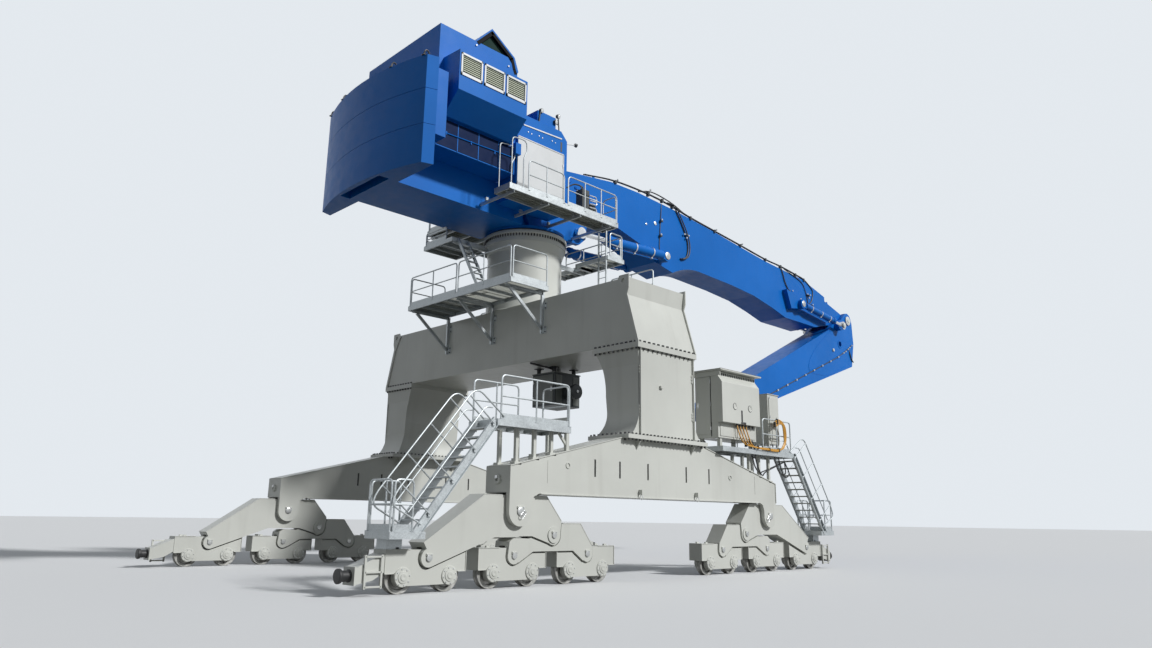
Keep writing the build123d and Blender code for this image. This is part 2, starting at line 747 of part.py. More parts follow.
# Access platforms fixed to the pedestal, and the ladder between the levels
with BuildPart() as pedestal_access:
    rear_out, rear_in = REAR_PLATFORM_X
    rear_low, rear_high = REAR_PLATFORM_Y
    rear_under = REAR_PLATFORM_Z - GRATING
    block(rear_out, rear_in, rear_low, rear_high, rear_under, REAR_PLATFORM_Z)
    for y in (rear_low + BEARER_WIDE / 2, (rear_low + PEDESTAL_R) / 2 + BEARER_WIDE):
        block(
            rear_out, -PEDESTAL_R * 0.6, y - BEARER_WIDE / 2, y + BEARER_WIDE / 2,
            rear_under - BEARER_DEEP, rear_under,
        )
    for x in (rear_out + BEARER_WIDE / 2, rear_in - BEARER_WIDE / 2):
        block(
            x - BEARER_WIDE / 2, x + BEARER_WIDE / 2, rear_low, rear_high, rear_under - BEARER_DEEP, rear_under
        )
    front_in, front_out = FRONT_PLATFORM_X
    front_low, front_high = FRONT_PLATFORM_Y
    front_under = FRONT_PLATFORM_Z - GRATING
    near_x = PEDESTAL_R + PLATFORM_CLEAR
    block(front_in, front_out, front_low, FRONT_PLATFORM_STEP, front_under, FRONT_PLATFORM_Z)
    block(near_x, front_out, FRONT_PLATFORM_STEP, front_high, front_under, FRONT_PLATFORM_Z)
    for y in (front_high - BEARER_WIDE, front_high - PEDESTAL_R * 0.8):
        block(
            PEDESTAL_R * 0.5, front_out, y - BEARER_WIDE / 2, y + BEARER_WIDE / 2,
            front_under - BEARER_DEEP, front_under,
        )
    for x in (near_x + BEARER_WIDE / 2, front_out - BEARER_WIDE / 2):
        block(
            x - BEARER_WIDE / 2, x + BEARER_WIDE / 2, front_low, front_high, front_under - BEARER_DEEP, front_under
        )
    block(
        front_in, front_out, front_low, front_low + BEARER_WIDE, front_under - BEARER_DEEP, front_under
    )
    for x in (ACCESS_LADDER_X - ACCESS_LADDER_WIDE / 2, ACCESS_LADDER_X + ACCESS_LADDER_WIDE / 2):
        strip((x, ACCESS_LADDER_Y, WALK_Z), (x, rear_low - 40, rear_under), 50, 110, across=(1, 0, 0))
    rungs = round((rear_under - WALK_Z) / RUNG_PITCH) - 1
    for step in range(1, rungs + 1):
        share = step / (rungs + 1)
        y = ACCESS_LADDER_Y + (rear_low - 40 - ACCESS_LADDER_Y) * share
        z = WALK_Z + (rear_under - WALK_Z) * share
        block(
            ACCESS_LADDER_X - ACCESS_LADDER_WIDE / 2, ACCESS_LADDER_X + ACCESS_LADDER_WIDE / 2,
            y - 70, y + 70, z - 12, z + 12,
        )
    for y in PORTAL_LADDER_Y:
        strip((PORTAL_LADDER_X, y, CROSS_TOP), (PORTAL_LADDER_X, y, PORTAL_LADDER_TOP), 60, 40)
    ladder_low, ladder_high = PORTAL_LADDER_Y
    for step in range(1, PORTAL_LADDER_RUNGS + 1):
        z = CROSS_TOP + step * RUNG_PITCH
        thin_tube((PORTAL_LADDER_X, ladder_low, z), (PORTAL_LADDER_X, ladder_high, z), 15)
    block(rear_out, rear_in, ACCESS_LADDER_Y - 200, ACCESS_LADDER_Y + 200, WALK_Z - 200, WALK_Z, Mode.SUBTRACT)
    bar((0, 0, CROSS_TOP), (0, 0, PEDESTAL_TOP), PEDESTAL_R, Mode.SUBTRACT)
write(pedestal_access, "pedestal_access")

# Corner platforms and stairs beside the rear right and front right columns
STAIR_WIDTH = 700
STAIR_Y = -6500
STRINGER = 12
with BuildPart() as stairs:
    for sx, low_x, top_x in ((-1, 8850, 6700), (1, 8850, 6950)):
        y0 = STAIR_Y - STAIR_WIDTH / 2
        y1 = STAIR_Y + STAIR_WIDTH / 2
        for y in (y0, y1):
            strip((sx * low_x, y, LOW_DECK_Z), (sx * top_x, y, MID_DECK_Z - 60), STRINGER, 220)
        for step in range(1, 11):
            t = step / 11
            x = sx * (low_x + (top_x - low_x) * t)
            z = LOW_DECK_Z + (MID_DECK_Z - LOW_DECK_Z) * t
            block(x - 120, x + 120, y0, y1, z - 20, z + 20)
        block(sx * 8640, sx * 9550, -6900, -5900, LOW_DECK_Z - 60, LOW_DECK_Z)
        block(sx * 8640, sx * 9550, -6900, -6840, LOW_DECK_Z - 200, LOW_DECK_Z - 60)
        block(sx * 9490, sx * 9550, -6900, -5900, LOW_DECK_Z - 200, LOW_DECK_Z - 60)
        block(sx * 8900, sx * 9300, RAIL_Y * -1 - 200, -RAIL_Y + 200, BOGIE_TOP, LOW_DECK_Z - 60)
        deck_in = 4200 if sx < 0 else 2650
        block(sx * deck_in, sx * top_x, -6900, -5750, MID_DECK_Z - 50, MID_DECK_Z)
        block(sx * deck_in, sx * top_x, -6900, -6840, MID_DECK_Z - 200, MID_DECK_Z - 50)
        block(sx * (top_x - 60), sx * top_x, -6900, -5750, MID_DECK_Z - 200, MID_DECK_Z - 50)
        for leg_x in (4600, 5750):
            for y in (-6560, -5900):
                top = BEAM_TOP - (leg_x - BEAM_FLAT) * (BEAM_TOP - BEAM_END_TOP) / (BEAM_HALF - BEAM_FLAT)
                block(sx * (leg_x - 40), sx * (leg_x + 40), y - 40, y + 40, top - 60, MID_DECK_Z - 50)
    across(beam_face(), -RAIL_Y - BEAM_WIDTH / 2, -RAIL_Y + BEAM_WIDTH / 2, Mode.SUBTRACT)
write(stairs, "stairs")

# Guard rails of the portal
with BuildPart() as portal_rails:
    inset = POST_R
    stair_rail = STAIR_WIDTH / 2 + STRINGER / 2 + POST_R * math.cos(math.pi / THIN_SIDES) + SEAT
    railing((WALK_X0 + inset, WALK_HALF_Y - 60, WALK_Z), (WALK_X0 + inset, -WALK_HALF_Y + 60, WALK_Z), 6)
    for sy in (-1, 1):
        y = sy * (WALK_HALF_Y - inset)
        railing((WALK_X0 + 90, y, WALK_Z), (WALK_X1 - 60, y, WALK_Z), 3)
    for sx, low_x, top_x, deck_in in ((-1, 8850, 6700, 4250), (1, 8850, 6950, 5050)):
        for y in (STAIR_Y - stair_rail, STAIR_Y + stair_rail):
            railing((sx * low_x, y, LOW_DECK_Z), (sx * top_x, y, MID_DECK_Z), 4, toe=False)
        railing((sx * 9525, -6840, LOW_DECK_Z), (sx * 9525, -5960, LOW_DECK_Z), 2)
        railing((sx * (top_x - 120), -6870, MID_DECK_Z), (sx * deck_in, -6870, MID_DECK_Z), 3)
write(portal_rails, "portal_rails")

# Electric cabinets
with BuildPart() as power_cabinets:
    block(2700, 4900, -6700, -5800, 4300, 6450)
    block(2620, 4980, -6900, -5720, 6450, 6530)
    block(2870, 4830, -6900, -6700, 4800, 6350)
    for x in (2900, 4700):
        for y in (-6600, -5900):
            block(x - 60, x + 60, y - 60, y + 60, MID_DECK_Z, 4300)
    block(5700, 6400, -6700, -6000, 4300, 6050)
    block(5650, 6450, -6760, -5950, 6050, 6120)
    for x in (5760, 6340):
        for y in (-6640, -6060):
            block(x - 40, x + 40, y - 40, y + 40, MID_DECK_Z, 4300)
write(power_cabinets, "power_cabinets")

with BuildPart() as hanging_cabinet:
    block(-280, 930, -2070, -950, 5450, 6600)
    bar((325, -2070, 5930), (325, -2560, 5930), 225)
    for x in (-150, 800):
        block(x - 50, x + 50, -1950, -1850, 6600, CROSS_BOTTOM)
        block(x - 50, x + 50, -1170, -1070, 6600, CROSS_BOTTOM)
write(hanging_cabinet, "hanging_cabinet")

# Upper frame: a deep box on the ring, boom cheeks and cylinder base cheeks
with BuildPart() as upper_frame:
    with BuildSketch(Plane.XY.offset(RING_TOP + RING_GAP)):
        Circle(RING_R + 60)
    extrude(amount=FRAME_BOTTOM - RING_TOP + 40)
    prism(
        (
            (FRAME_REAR, FRAME_BOTTOM), (FRAME_REAR, FRAME_TOP), (1000, FRAME_TOP),
            (FRAME_FRONT, 12900), (FRAME_FRONT, 12100), (1500, FRAME_BOTTOM),
        ),
        side_plane(0), half=CHEEK_IN - 20,
    )
    block(FRAME_REAR, -1200, -FRAME_HALF, FRAME_HALF, FRAME_BOTTOM, FRAME_TOP)
    with BuildSketch(side_plane(0)) as cheek:
        with BuildLine():
            Polyline(
                (-600, FRAME_BOTTOM + 40), (-1200, 13000), (1250, 14350), (2300, 14350), (2420, 13700),
                (2250, 12300), (1900, 12000),
                close=True,
            )
        make_face()
        with Locations(FOOT):
            Circle(520)
    across(cheek.sketch, CHEEK_IN - 20, CHEEK_OUT)
    across(cheek.sketch, -CHEEK_OUT, 20 - CHEEK_IN)
    foot_x, foot_z = FOOT
    block(foot_x - 900, foot_x + 900, -BOOM_HALF - 10, BOOM_HALF + 10, 13200, 14900, Mode.SUBTRACT)
    pin(foot_x, foot_z, -CHEEK_OUT - 20, CHEEK_OUT + 20, FOOT_PIN_R)
    reach = CYL_Y - CYL_EYE_WIDTH / 2 - EYE_GAP
    pin(BOOM_BASE[0], BOOM_BASE[1], -reach, reach, BOSS_R)
write(upper_frame, "upper_frame")

# Counterweight: three stacked slabs with a round back and chamfered corners
with BuildPart() as counterweight:
    for level, (z0, z1) in enumerate(zip(WEIGHT_LEVELS, WEIGHT_LEVELS[1:])):
        seam = WEIGHT_SEAM if level < 2 else 0
        with BuildSketch(Plane.XY.offset(z0)) as slab:
            with BuildLine():
                ThreePointArc(
                    (WEIGHT_CORNER[0], -WEIGHT_CORNER[1]), (WEIGHT_REAR_X, 0), (WEIGHT_CORNER[0], WEIGHT_CORNER[1])
                )
                Line((WEIGHT_CORNER[0], WEIGHT_CORNER[1]), WEIGHT_FRONT)
                Line(WEIGHT_FRONT, (WEIGHT_FRONT[0], -WEIGHT_FRONT[1]))
                Line((WEIGHT_FRONT[0], -WEIGHT_FRONT[1]), (WEIGHT_CORNER[0], -WEIGHT_CORNER[1]))
            make_face()
        extrude(slab.sketch, amount=z1 - z0 - seam)
        if seam:
            with BuildSketch(Plane.XY.offset(z1 - seam)) as joint_gap:
                add(slab.sketch.moved(Location((0, 0, z1 - seam - z0))))
                offset(amount=-40)
            extrude(joint_gap.sketch, amount=seam)
    block(FRAME_REAR, WEIGHT_FRONT[0], -FRAME_HALF, FRAME_HALF, FRAME_BOTTOM, FRAME_TOP, Mode.SUBTRACT)
    block(
        WEIGHT_REAR_X + WEIGHT_POCKET_WALL, FRAME_REAR, -FRAME_HALF, FRAME_HALF,
        FRAME_BOTTOM, WEIGHT_POCKET_TOP, Mode.SUBTRACT,
    )
write(counterweight, "counterweight")

# Engine house with its shouldered roof and the open hood over the intake
with BuildPart() as engine_house:
    prism(
        (
            (HOUSE_REAR, HOUSE_BOTTOM), (HOUSE_REAR, HOUSE_TOP), (HOUSE_FRONT - 450, HOUSE_TOP),
            (HOUSE_FRONT, HOUSE_TOP - 450), (HOUSE_FRONT, HOUSE_BOTTOM),
        ),
        side_plane(0), half=HOUSE_HALF,
    )
    block(-6420, HOUSE_REAR, -2800, 2800, FRAME_TOP, 15400)
    prism(
        (
            (-4430, HOUSE_TOP - 50), (-3690, 18230), (-2640, 17560), (-2450, 17080), (-2560, 16900),
            (-2660, 17100), (-2750, 17480), (-3690, 18110), (-4270, HOUSE_TOP - 50),
        ),
        side_plane(0), half=HOUSE_HALF,
    )
write(engine_house, "engine_house")

# Cooler box on the right flank, its lower side slanted in to the house
with BuildPart() as cooler_box:
    prism(
        (
            (-HOUSE_HALF, BOX_HEEL_Z), (-HOUSE_HALF - 180, BOX_HEEL_Z), (BOX_Y, BOX_LOW),
            (BOX_Y, BOX_TOP), (-HOUSE_HALF, BOX_TOP + 60),
        ),
        section_plane(BOX_REAR), amount=BOX_FRONT - BOX_REAR,
    )
    for number in range(3):
        x0 = BOX_REAR + 50 + number * 940
        block(x0 + 40, x0 + 820, BOX_Y - 1, BOX_Y + 120, 15360, 16060, Mode.SUBTRACT)
write(cooler_box, "cooler_box")

with BuildPart() as cooler_grilles:
    for number in range(3):
        x0 = BOX_REAR + 50 + number * 940
        block(x0, x0 + 860, BOX_Y - 30, BOX_Y, 15320, 16100)
        block(x0 + 60, x0 + 800, BOX_Y - 31, BOX_Y + 1, 15400, 16040, Mode.SUBTRACT)
        for louvre in range(9):
            z = 15430 + louvre * 70
            strip((x0 + 50, BOX_Y + 30, z), (x0 + 810, BOX_Y + 30, z), 90, 8, across=(0, 1, 0.5))
write(cooler_grilles, "cooler_grilles")

# Front house beside the boom foot, with its white service panel
with BuildPart() as front_house:
    prism(
        (
            (CABIN_REAR, 12380), (CABIN_REAR, CABIN_TOP), (-300, CABIN_TOP), (CABIN_FRONT, 15250),
            (CABIN_FRONT, 12380),
        ),
        side_plane((CABIN_OUT + CABIN_IN) / 2), half=(CABIN_IN - CABIN_OUT) / 2,
    )
    block(-1400, -500, -2100, -1300, CABIN_TOP, 16050)
write(front_house, "front_house")

with BuildPart() as service_panel:
    block(-2370, -190, CABIN_OUT - 25, CABIN_OUT, 12460, 14650)
write(service_panel, "service_panel")

# Walkways of the upper carriage
with BuildPart() as side_walkways:
    for sy, x0, x1, y0, y1 in (
        (-1, SIDE_WALK_X0, SIDE_WALK_X1, SIDE_WALK_Y, CABIN_OUT),
        (1, -2400, CAB_X0 - 40, 3000, FRAME_HALF),
    ):
        block(x0, x1, y0, y1, SIDE_WALK_Z - GRATING, SIDE_WALK_Z)
        for y in (y0, y1):
            inset_y = y + 30 if y < (y0 + y1) / 2 else y - 30
            block(x0, x1, inset_y - 30, inset_y + 30, SIDE_WALK_Z - 150, SIDE_WALK_Z - GRATING)
        last_x = min(x1 - 200, BOOM_BASE[0] - EYE_R - 120)
        for number in range(4):
            x = x0 + 200 + number * (last_x - x0 - 200) / 3
            block(x - 40, x + 40, y0, sy * CHEEK_OUT if x > -1200 else sy * FRAME_HALF,
                  SIDE_WALK_Z - 250, SIDE_WALK_Z - 150)
write(side_walkways, "side_walkways")

with BuildPart() as upper_rails:
    y = SIDE_WALK_Y + POST_R
    railing((SIDE_WALK_X0 + 60, y, SIDE_WALK_Z), (-850, y, SIDE_WALK_Z), 3)
    railing((-650, y, SIDE_WALK_Z), (SIDE_WALK_X1 - 60, y, SIDE_WALK_Z), 3)
    railing((SIDE_WALK_X1 - 30, SIDE_WALK_Y + 90, SIDE_WALK_Z), (SIDE_WALK_X1 - 30, CABIN_OUT - 60, SIDE_WALK_Z), 2)
    railing((-2340, 3000 - POST_R, SIDE_WALK_Z), (CAB_X0 - 100, 3000 - POST_R, SIDE_WALK_Z), 3)
write(upper_rails, "upper_rails")

# Operator's cab: a hollow shell with window openings, a door and a seat
with BuildPart() as cab_shell:
    with BuildSketch(side_plane((CAB_Y0 + CAB_Y1) / 2)) as cab_side:
        with BuildLine():
            Polyline(
                (CAB_X0, CAB_Z0), (CAB_X0, CAB_Z1), (CAB_X1 - CAB_BROW, CAB_Z1), (CAB_X1, CAB_Z1 - CAB_NOSE),
                (CAB_X1 - CAB_CHIN, CAB_Z0),
                close=True,
            )
        make_face()
    extrude(cab_side.sketch, amount=(CAB_Y1 - CAB_Y0) / 2, both=True)
    with BuildSketch(side_plane((CAB_Y0 + CAB_Y1) / 2)) as cab_room:
        add(cab_side.sketch)
        offset(amount=-CAB_WALL, kind=Kind.INTERSECTION)
    extrude(cab_room.sketch, amount=(CAB_Y1 - CAB_Y0) / 2 - CAB_WALL, both=True, mode=Mode.SUBTRACT)
    block(
        CAB_X1 - CAB_CHIN * 2, CAB_X1 + 50, CAB_Y0 + SCREEN_SIDE, CAB_Y1 - SCREEN_SIDE,
        CAB_Z0 + SCREEN_SILL, CAB_Z1 - SCREEN_HEAD, Mode.SUBTRACT,
    )
    block(CAB_X0 + 200, CAB_X1 - 520, CAB_Y0 - 10, CAB_Y0 + 100, CAB_Z0 + 900, CAB_Z1 - 160, Mode.SUBTRACT)
    block(CAB_X0 + 180, CAB_X0 + 180 + DOOR_WIDTH, CAB_Y1 - 100, CAB_Y1 + 10, CAB_Z0 + 120, CAB_Z1 - 160, Mode.SUBTRACT)
    block(CAB_X0 + 1180, CAB_X1 - 560, CAB_Y1 - 100, CAB_Y1 + 10, CAB_Z0 + 700, CAB_Z1 - 160, Mode.SUBTRACT)
    block(CAB_X0 + 300, CAB_X0 + 1900, CAB_Y0 + 400, CAB_Y1 - 400, CAB_Z1 - 100, CAB_Z1 + 10, Mode.SUBTRACT)
    block(400, 1300, CHEEK_OUT, CAB_Y0 + 100, CAB_Z0 - 250, CAB_Z0)
    block(400, 1600, CAB_Y0 + 100, CAB_Y1 - 300, CAB_Z0 - 120, CAB_Z0)
    for z in HINGE_LEVELS:
        block(HINGE_X - 60, HINGE_X, CAB_Y1, CAB_Y1 + LEAF, z, z + KNUCKLE)
        bar((HINGE_X, HINGE_Y, z), (HINGE_X, HINGE_Y, z + KNUCKLE), HINGE_R)
        bar((HINGE_X, HINGE_Y, z), (HINGE_X, HINGE_Y, z + 2 * KNUCKLE), HINGE_PIN_R)
write(cab_shell, "cab_shell")

with BuildPart() as cab_glass:
    block(CAB_X0 + 200, CAB_X1 - 520, CAB_Y0 + 20, CAB_Y0 + 20 + GLASS, CAB_Z0 + 900, CAB_Z1 - 160)
    block(CAB_X0 + 1180, CAB_X1 - 560, CAB_Y1 - 20 - GLASS, CAB_Y1 - 20, CAB_Z0 + 700, CAB_Z1 - 160)
    block(CAB_X0 + 300, CAB_X0 + 1900, CAB_Y0 + 400, CAB_Y1 - 400, CAB_Z1 - 20 - GLASS, CAB_Z1 - 20)
    nose_z = CAB_Z1 - CAB_NOSE
    head_z = CAB_Z1 - SCREEN_HEAD
    sill_z = CAB_Z0 + SCREEN_SILL
    head_x = CAB_X1 - CAB_BROW * (head_z - nose_z) / CAB_NOSE
    sill_x = CAB_X1 - CAB_CHIN * (nose_z - sill_z) / (nose_z - CAB_Z0)
    with BuildSketch(side_plane((CAB_Y0 + CAB_Y1) / 2)) as screen:
        with BuildLine():
            Polyline(
                (head_x - PANE_IN, head_z), (CAB_X1 - PANE_IN, nose_z), (sill_x - PANE_IN, sill_z),
                (sill_x - PANE_IN - GLASS, sill_z), (CAB_X1 - PANE_IN - GLASS, nose_z),
                (head_x - PANE_IN - GLASS, head_z),
                close=True,
            )
        make_face()
    extrude(screen.sketch, amount=(CAB_Y1 - CAB_Y0) / 2 - SCREEN_SIDE, both=True)
write(cab_glass, "cab_glass")

with BuildPart() as cab_door:
    x0 = CAB_X0 + 180 + DOOR_GAP
    x1 = CAB_X0 + 180 + DOOR_WIDTH - DOOR_GAP
    block(x0, x1, CAB_Y1 - 50, CAB_Y1, CAB_Z0 + 120 + DOOR_GAP, CAB_Z1 - 160 - DOOR_GAP)
    block(x0 + 90, x1 - 90, CAB_Y1 - 60, CAB_Y1 + 10, CAB_Z0 + 950, CAB_Z1 - 260, Mode.SUBTRACT)
    block(x0 + 90, x1 - 90, CAB_Y1 - 30, CAB_Y1 - 18, CAB_Z0 + 950, CAB_Z1 - 260)
    for z in HINGE_LEVELS:
        low = z + KNUCKLE + HINGE_FIT
        block(HINGE_X + HINGE_PIN_R + 2, x0 + 60, CAB_Y1, CAB_Y1 + LEAF, low, low + KNUCKLE)
        bar((HINGE_X, HINGE_Y, low), (HINGE_X, HINGE_Y, low + KNUCKLE), HINGE_R)
        bar((HINGE_X, HINGE_Y, low), (HINGE_X, HINGE_Y, low + KNUCKLE), HINGE_PIN_R + HINGE_FIT, Mode.SUBTRACT)
write(cab_door, "cab_door")

with BuildPart() as operator_seat:
    block(900, 1450, 2150, 2700, CAB_Z0 + CAB_WALL, CAB_Z0 + 420)
    block(850, 1450, 2120, 2730, CAB_Z0 + 420, CAB_Z0 + 560)
    block(780, 930, 2150, 2700, CAB_Z0 + 560, CAB_Z0 + 1250)
write(operator_seat, "operator_seat")

# Boom: a box with a level foot, a deep belly at the cylinder eyes and an arched underside
with BuildPart() as boom:
    with BuildSketch(side_plane(0)) as boom_side:
        with BuildLine():
            Polyline(
                (2050, 13640), (1400, 13900), (1380, 14980), (3990, 15330), (5700, 15370), (8280, 15260),
                (11120, 15030), (15500, 14600), (19300, 14400), (21200, 13960), (23750, 13330),
            )
            Line((23750, 13330), (24050, 12540))
            Polyline(
                (24050, 12540), (22900, 12600), (21800, 12350), (20300, 11960), (18900, 11960),
                (17300, 11950), (16000, 12250), (14400, 12540), (12500, 12680), (9930, 12760),
            )
            ThreePointArc((9930, 12760), (8850, 12620), (7990, 12280))
            Polyline((7990, 12280), (6800, 12500), (5930, 13040), (4380, 13420), (2050, 13640))
        make_face()
        with Locations(FOOT):
            Circle(480)
    extrude(boom_side.sketch, amount=BOOM_HALF, both=True)
    for way in (-1, 1):
        block(21500, 25000, way * BOOM_TIP_HALF, way * 900, 11000, 15000, Mode.SUBTRACT)
    pin(TIP[0], TIP[1], -BOOM_TIP_HALF, BOOM_TIP_HALF, 430)
    pin(FOOT[0], FOOT[1], -900, 900, FOOT_PIN_R + RUN_GAP, Mode.SUBTRACT)
    pin(TIP[0], TIP[1], -900, 900, TIP_PIN_R + RUN_GAP, Mode.SUBTRACT)
    for eye_x, eye_z in (BOOM_EYE, STICK_BASE):
        reach = CYL_Y - CYL_EYE_WIDTH / 2 - EYE_GAP
        pin(eye_x, eye_z, -reach, reach, BOSS_R)
        pin(eye_x, eye_z, -CYL_Y - CYL_EYE_WIDTH / 2, CYL_Y + CYL_EYE_WIDTH / 2, CYL_PIN_R)
    with BuildSketch(side_plane(0)) as base_lug:
        base_x, base_z = STICK_BASE
        with BuildLine():
            Polyline(
                (base_x - 1300, base_z + 580), (base_x - 300, base_z + 430), (base_x + 160, base_z + 160),
                (base_x + 160, base_z - 140), (base_x - 20, base_z - 230), (base_x - 900, base_z - 370),
                close=True,
            )
        make_face()
    across(base_lug.sketch, BOOM_HALF - 20, CYL_Y - CYL_EYE_WIDTH / 2 - EYE_GAP)
    across(base_lug.sketch, EYE_GAP + CYL_EYE_WIDTH / 2 - CYL_Y, 20 - BOOM_HALF)
write(boom, "boom")


def toward(start, end, distance):
    """The point at this distance from start on the way to end."""
    way = (Vector(*end) - Vector(*start)).normalized()
    return (start[0] + way.X * distance, start[1] + way.Y * distance)


def cylinder_body(base, eye, barrel_r, barrel_length, y):
    """A cylinder barrel with its end eye, in the plane of y."""
    gland = toward(base, eye, barrel_length)
    heel = toward(base, eye, EYE_R + 60)
    pin(base[0], base[1], y - CYL_EYE_WIDTH / 2, y + CYL_EYE_WIDTH / 2, EYE_R)
    strip((base[0], y, base[1]), (heel[0], y, heel[1]), CYL_EYE_WIDTH, EYE_R * 1.4)
    bar((heel[0], y, heel[1]), (gland[0], y, gland[1]), barrel_r)
    collar = toward(base, eye, barrel_length - 160)
    bar((collar[0], y, collar[1]), (gland[0], y, gland[1]), barrel_r + 25)


def cylinder_rod(base, eye, rod_r, barrel_length, y, bury):
    """A piston rod from inside its barrel to its end eye."""
    inside = toward(base, eye, barrel_length - bury)
    bar((inside[0], y, inside[1]), (eye[0], y, eye[1]), rod_r)
    pin(eye[0], eye[1], y - CYL_EYE_WIDTH / 2, y + CYL_EYE_WIDTH / 2, EYE_R * 0.9)


# Name, barrel's pin, rod's pin, radius and length of the barrel, radius of the rod,
# how far the rod reaches into the barrel at rest, and the room left behind it
CYLINDERS = (
    ("boom_cylinder", BOOM_EYE, BOOM_BASE, BOOM_BARREL_R, 3750, BOOM_ROD_R, 1500, 300),
    ("stick_cylinder", STICK_BASE, STICK_EYE, STICK_BARREL_R, 3350, STICK_ROD_R, 2480, 60),
)
for name, base, eye, barrel_r, length, rod_r, bury, reserve in CYLINDERS:
    with BuildPart() as barrels:
        for way in (-1, 1):
            y = way * CYL_Y
            cylinder_body(base, eye, barrel_r, length, y)
            inside = toward(base, eye, length - bury - reserve)
            gland = toward(base, eye, length + 1)
            bar((inside[0], y, inside[1]), (gland[0], y, gland[1]), rod_r + RUN_GAP, Mode.SUBTRACT)
            pin(base[0], base[1], y - CYL_EYE_WIDTH, y + CYL_EYE_WIDTH, CYL_PIN_R + RUN_GAP, Mode.SUBTRACT)
    write(barrels, f"{name}_barrels")
    with BuildPart() as rods:
        for way in (-1, 1):
            cylinder_rod(base, eye, rod_r, length, way * CYL_Y, bury)
    write(rods, f"{name}_rods")

# Stick, folded back under the boom: a forked root, a tapering box and a bored tip
with BuildPart() as stick:
    tip_x, tip_z = STICK_TIP
    with BuildSketch(side_plane(0)) as stick_side:
        with BuildLine():
            Polyline(
                (24330, 13330), (24560, 12900), (24640, 11700), (24300, 10330), (15800, 7480),
                (11020, 6100), (10740, 6680), (14400, 8580), (19400, 10940), (21700, 12020),
                (22500, 12640), (23300, 12900), (23800, 13370),
                close=True,
            )
        make_face()
        with Locations(STICK_TIP):
            Circle(TIP_BOSS_R)
        with Locations(TIP):
            Circle(440)
    extrude(stick_side.sketch, amount=STICK_HALF, both=True)
    pin(TIP[0], TIP[1], -BOOM_TIP_HALF - FORK_GAP, BOOM_TIP_HALF + FORK_GAP, THROAT_R, Mode.SUBTRACT)
    block(21000, TIP[0], -BOOM_TIP_HALF - FORK_GAP, BOOM_TIP_HALF + FORK_GAP, 12150, 13600, Mode.SUBTRACT)
    pin(TIP[0], TIP[1], -STICK_HALF - 30, STICK_HALF + 30, TIP_PIN_R)
    pin(23000, 11450, -900, 900, 150, Mode.SUBTRACT)
    for way in (-1, 1):
        reach = CYL_Y - CYL_EYE_WIDTH / 2 - EYE_GAP
        pin(STICK_EYE[0], STICK_EYE[1], way * STICK_HALF, way * reach, 240)
    pin(tip_x, tip_z, -900, 900, TIP_BORE_R, Mode.SUBTRACT)
write(stick, "stick")
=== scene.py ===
"""Looks of a rail-portal port material handler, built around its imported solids.

All places are metres in the machine's own frame: +X along the rails towards the boom,
+Y to the machine's left, +Z up, with the origin on the ground under the slewing axis.
"""

import json
import logging
import math
from dataclasses import dataclass, field
from enum import Enum
from functools import lru_cache
from typing import Sequence

import bmesh
import bpy
import numpy as np
from mathutils import Matrix, Vector


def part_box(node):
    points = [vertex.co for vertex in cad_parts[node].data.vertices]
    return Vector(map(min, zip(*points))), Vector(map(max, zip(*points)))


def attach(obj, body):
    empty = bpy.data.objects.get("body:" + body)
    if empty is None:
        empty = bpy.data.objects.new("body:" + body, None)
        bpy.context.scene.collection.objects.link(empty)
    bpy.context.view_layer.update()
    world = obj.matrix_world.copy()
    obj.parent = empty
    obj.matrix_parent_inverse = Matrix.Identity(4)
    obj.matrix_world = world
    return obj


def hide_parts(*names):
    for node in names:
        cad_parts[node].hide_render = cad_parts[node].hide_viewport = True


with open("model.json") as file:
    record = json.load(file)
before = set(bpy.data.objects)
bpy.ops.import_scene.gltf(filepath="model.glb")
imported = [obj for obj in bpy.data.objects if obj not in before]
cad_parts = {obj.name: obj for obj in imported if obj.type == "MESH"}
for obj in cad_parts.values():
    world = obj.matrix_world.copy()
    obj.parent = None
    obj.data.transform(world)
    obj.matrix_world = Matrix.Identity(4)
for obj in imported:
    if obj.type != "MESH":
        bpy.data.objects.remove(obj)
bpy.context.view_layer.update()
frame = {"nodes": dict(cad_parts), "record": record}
LOG = logging.getLogger("handler")

Point = Sequence[float]
Colour = tuple[float, float, float]
Rows = tuple[tuple[float, ...], ...]
X, Y, Z = np.eye(3)
TURN = 2 * math.pi
SIDES = (-1, 1)
CORNERS = tuple((sx, sy) for sx in SIDES for sy in SIDES)
RAIL_Y = 6.20
BOX_FACES = ((0, 1, 3, 2), (4, 6, 7, 5), (0, 4, 5, 1), (2, 3, 7, 6), (0, 2, 6, 4), (1, 5, 7, 3))


class Body(str, Enum):
    """The rigid bodies that a piece may ride on, beside the wheels."""

    PORTAL = "portal"
    UPPER = "upper"
    BOOM = "boom"
    BOOM_BARRELS = "boom_barrels"
    STICK_BARRELS = "stick_barrels"
    STICK = "stick"
    DOOR = "cab_door"


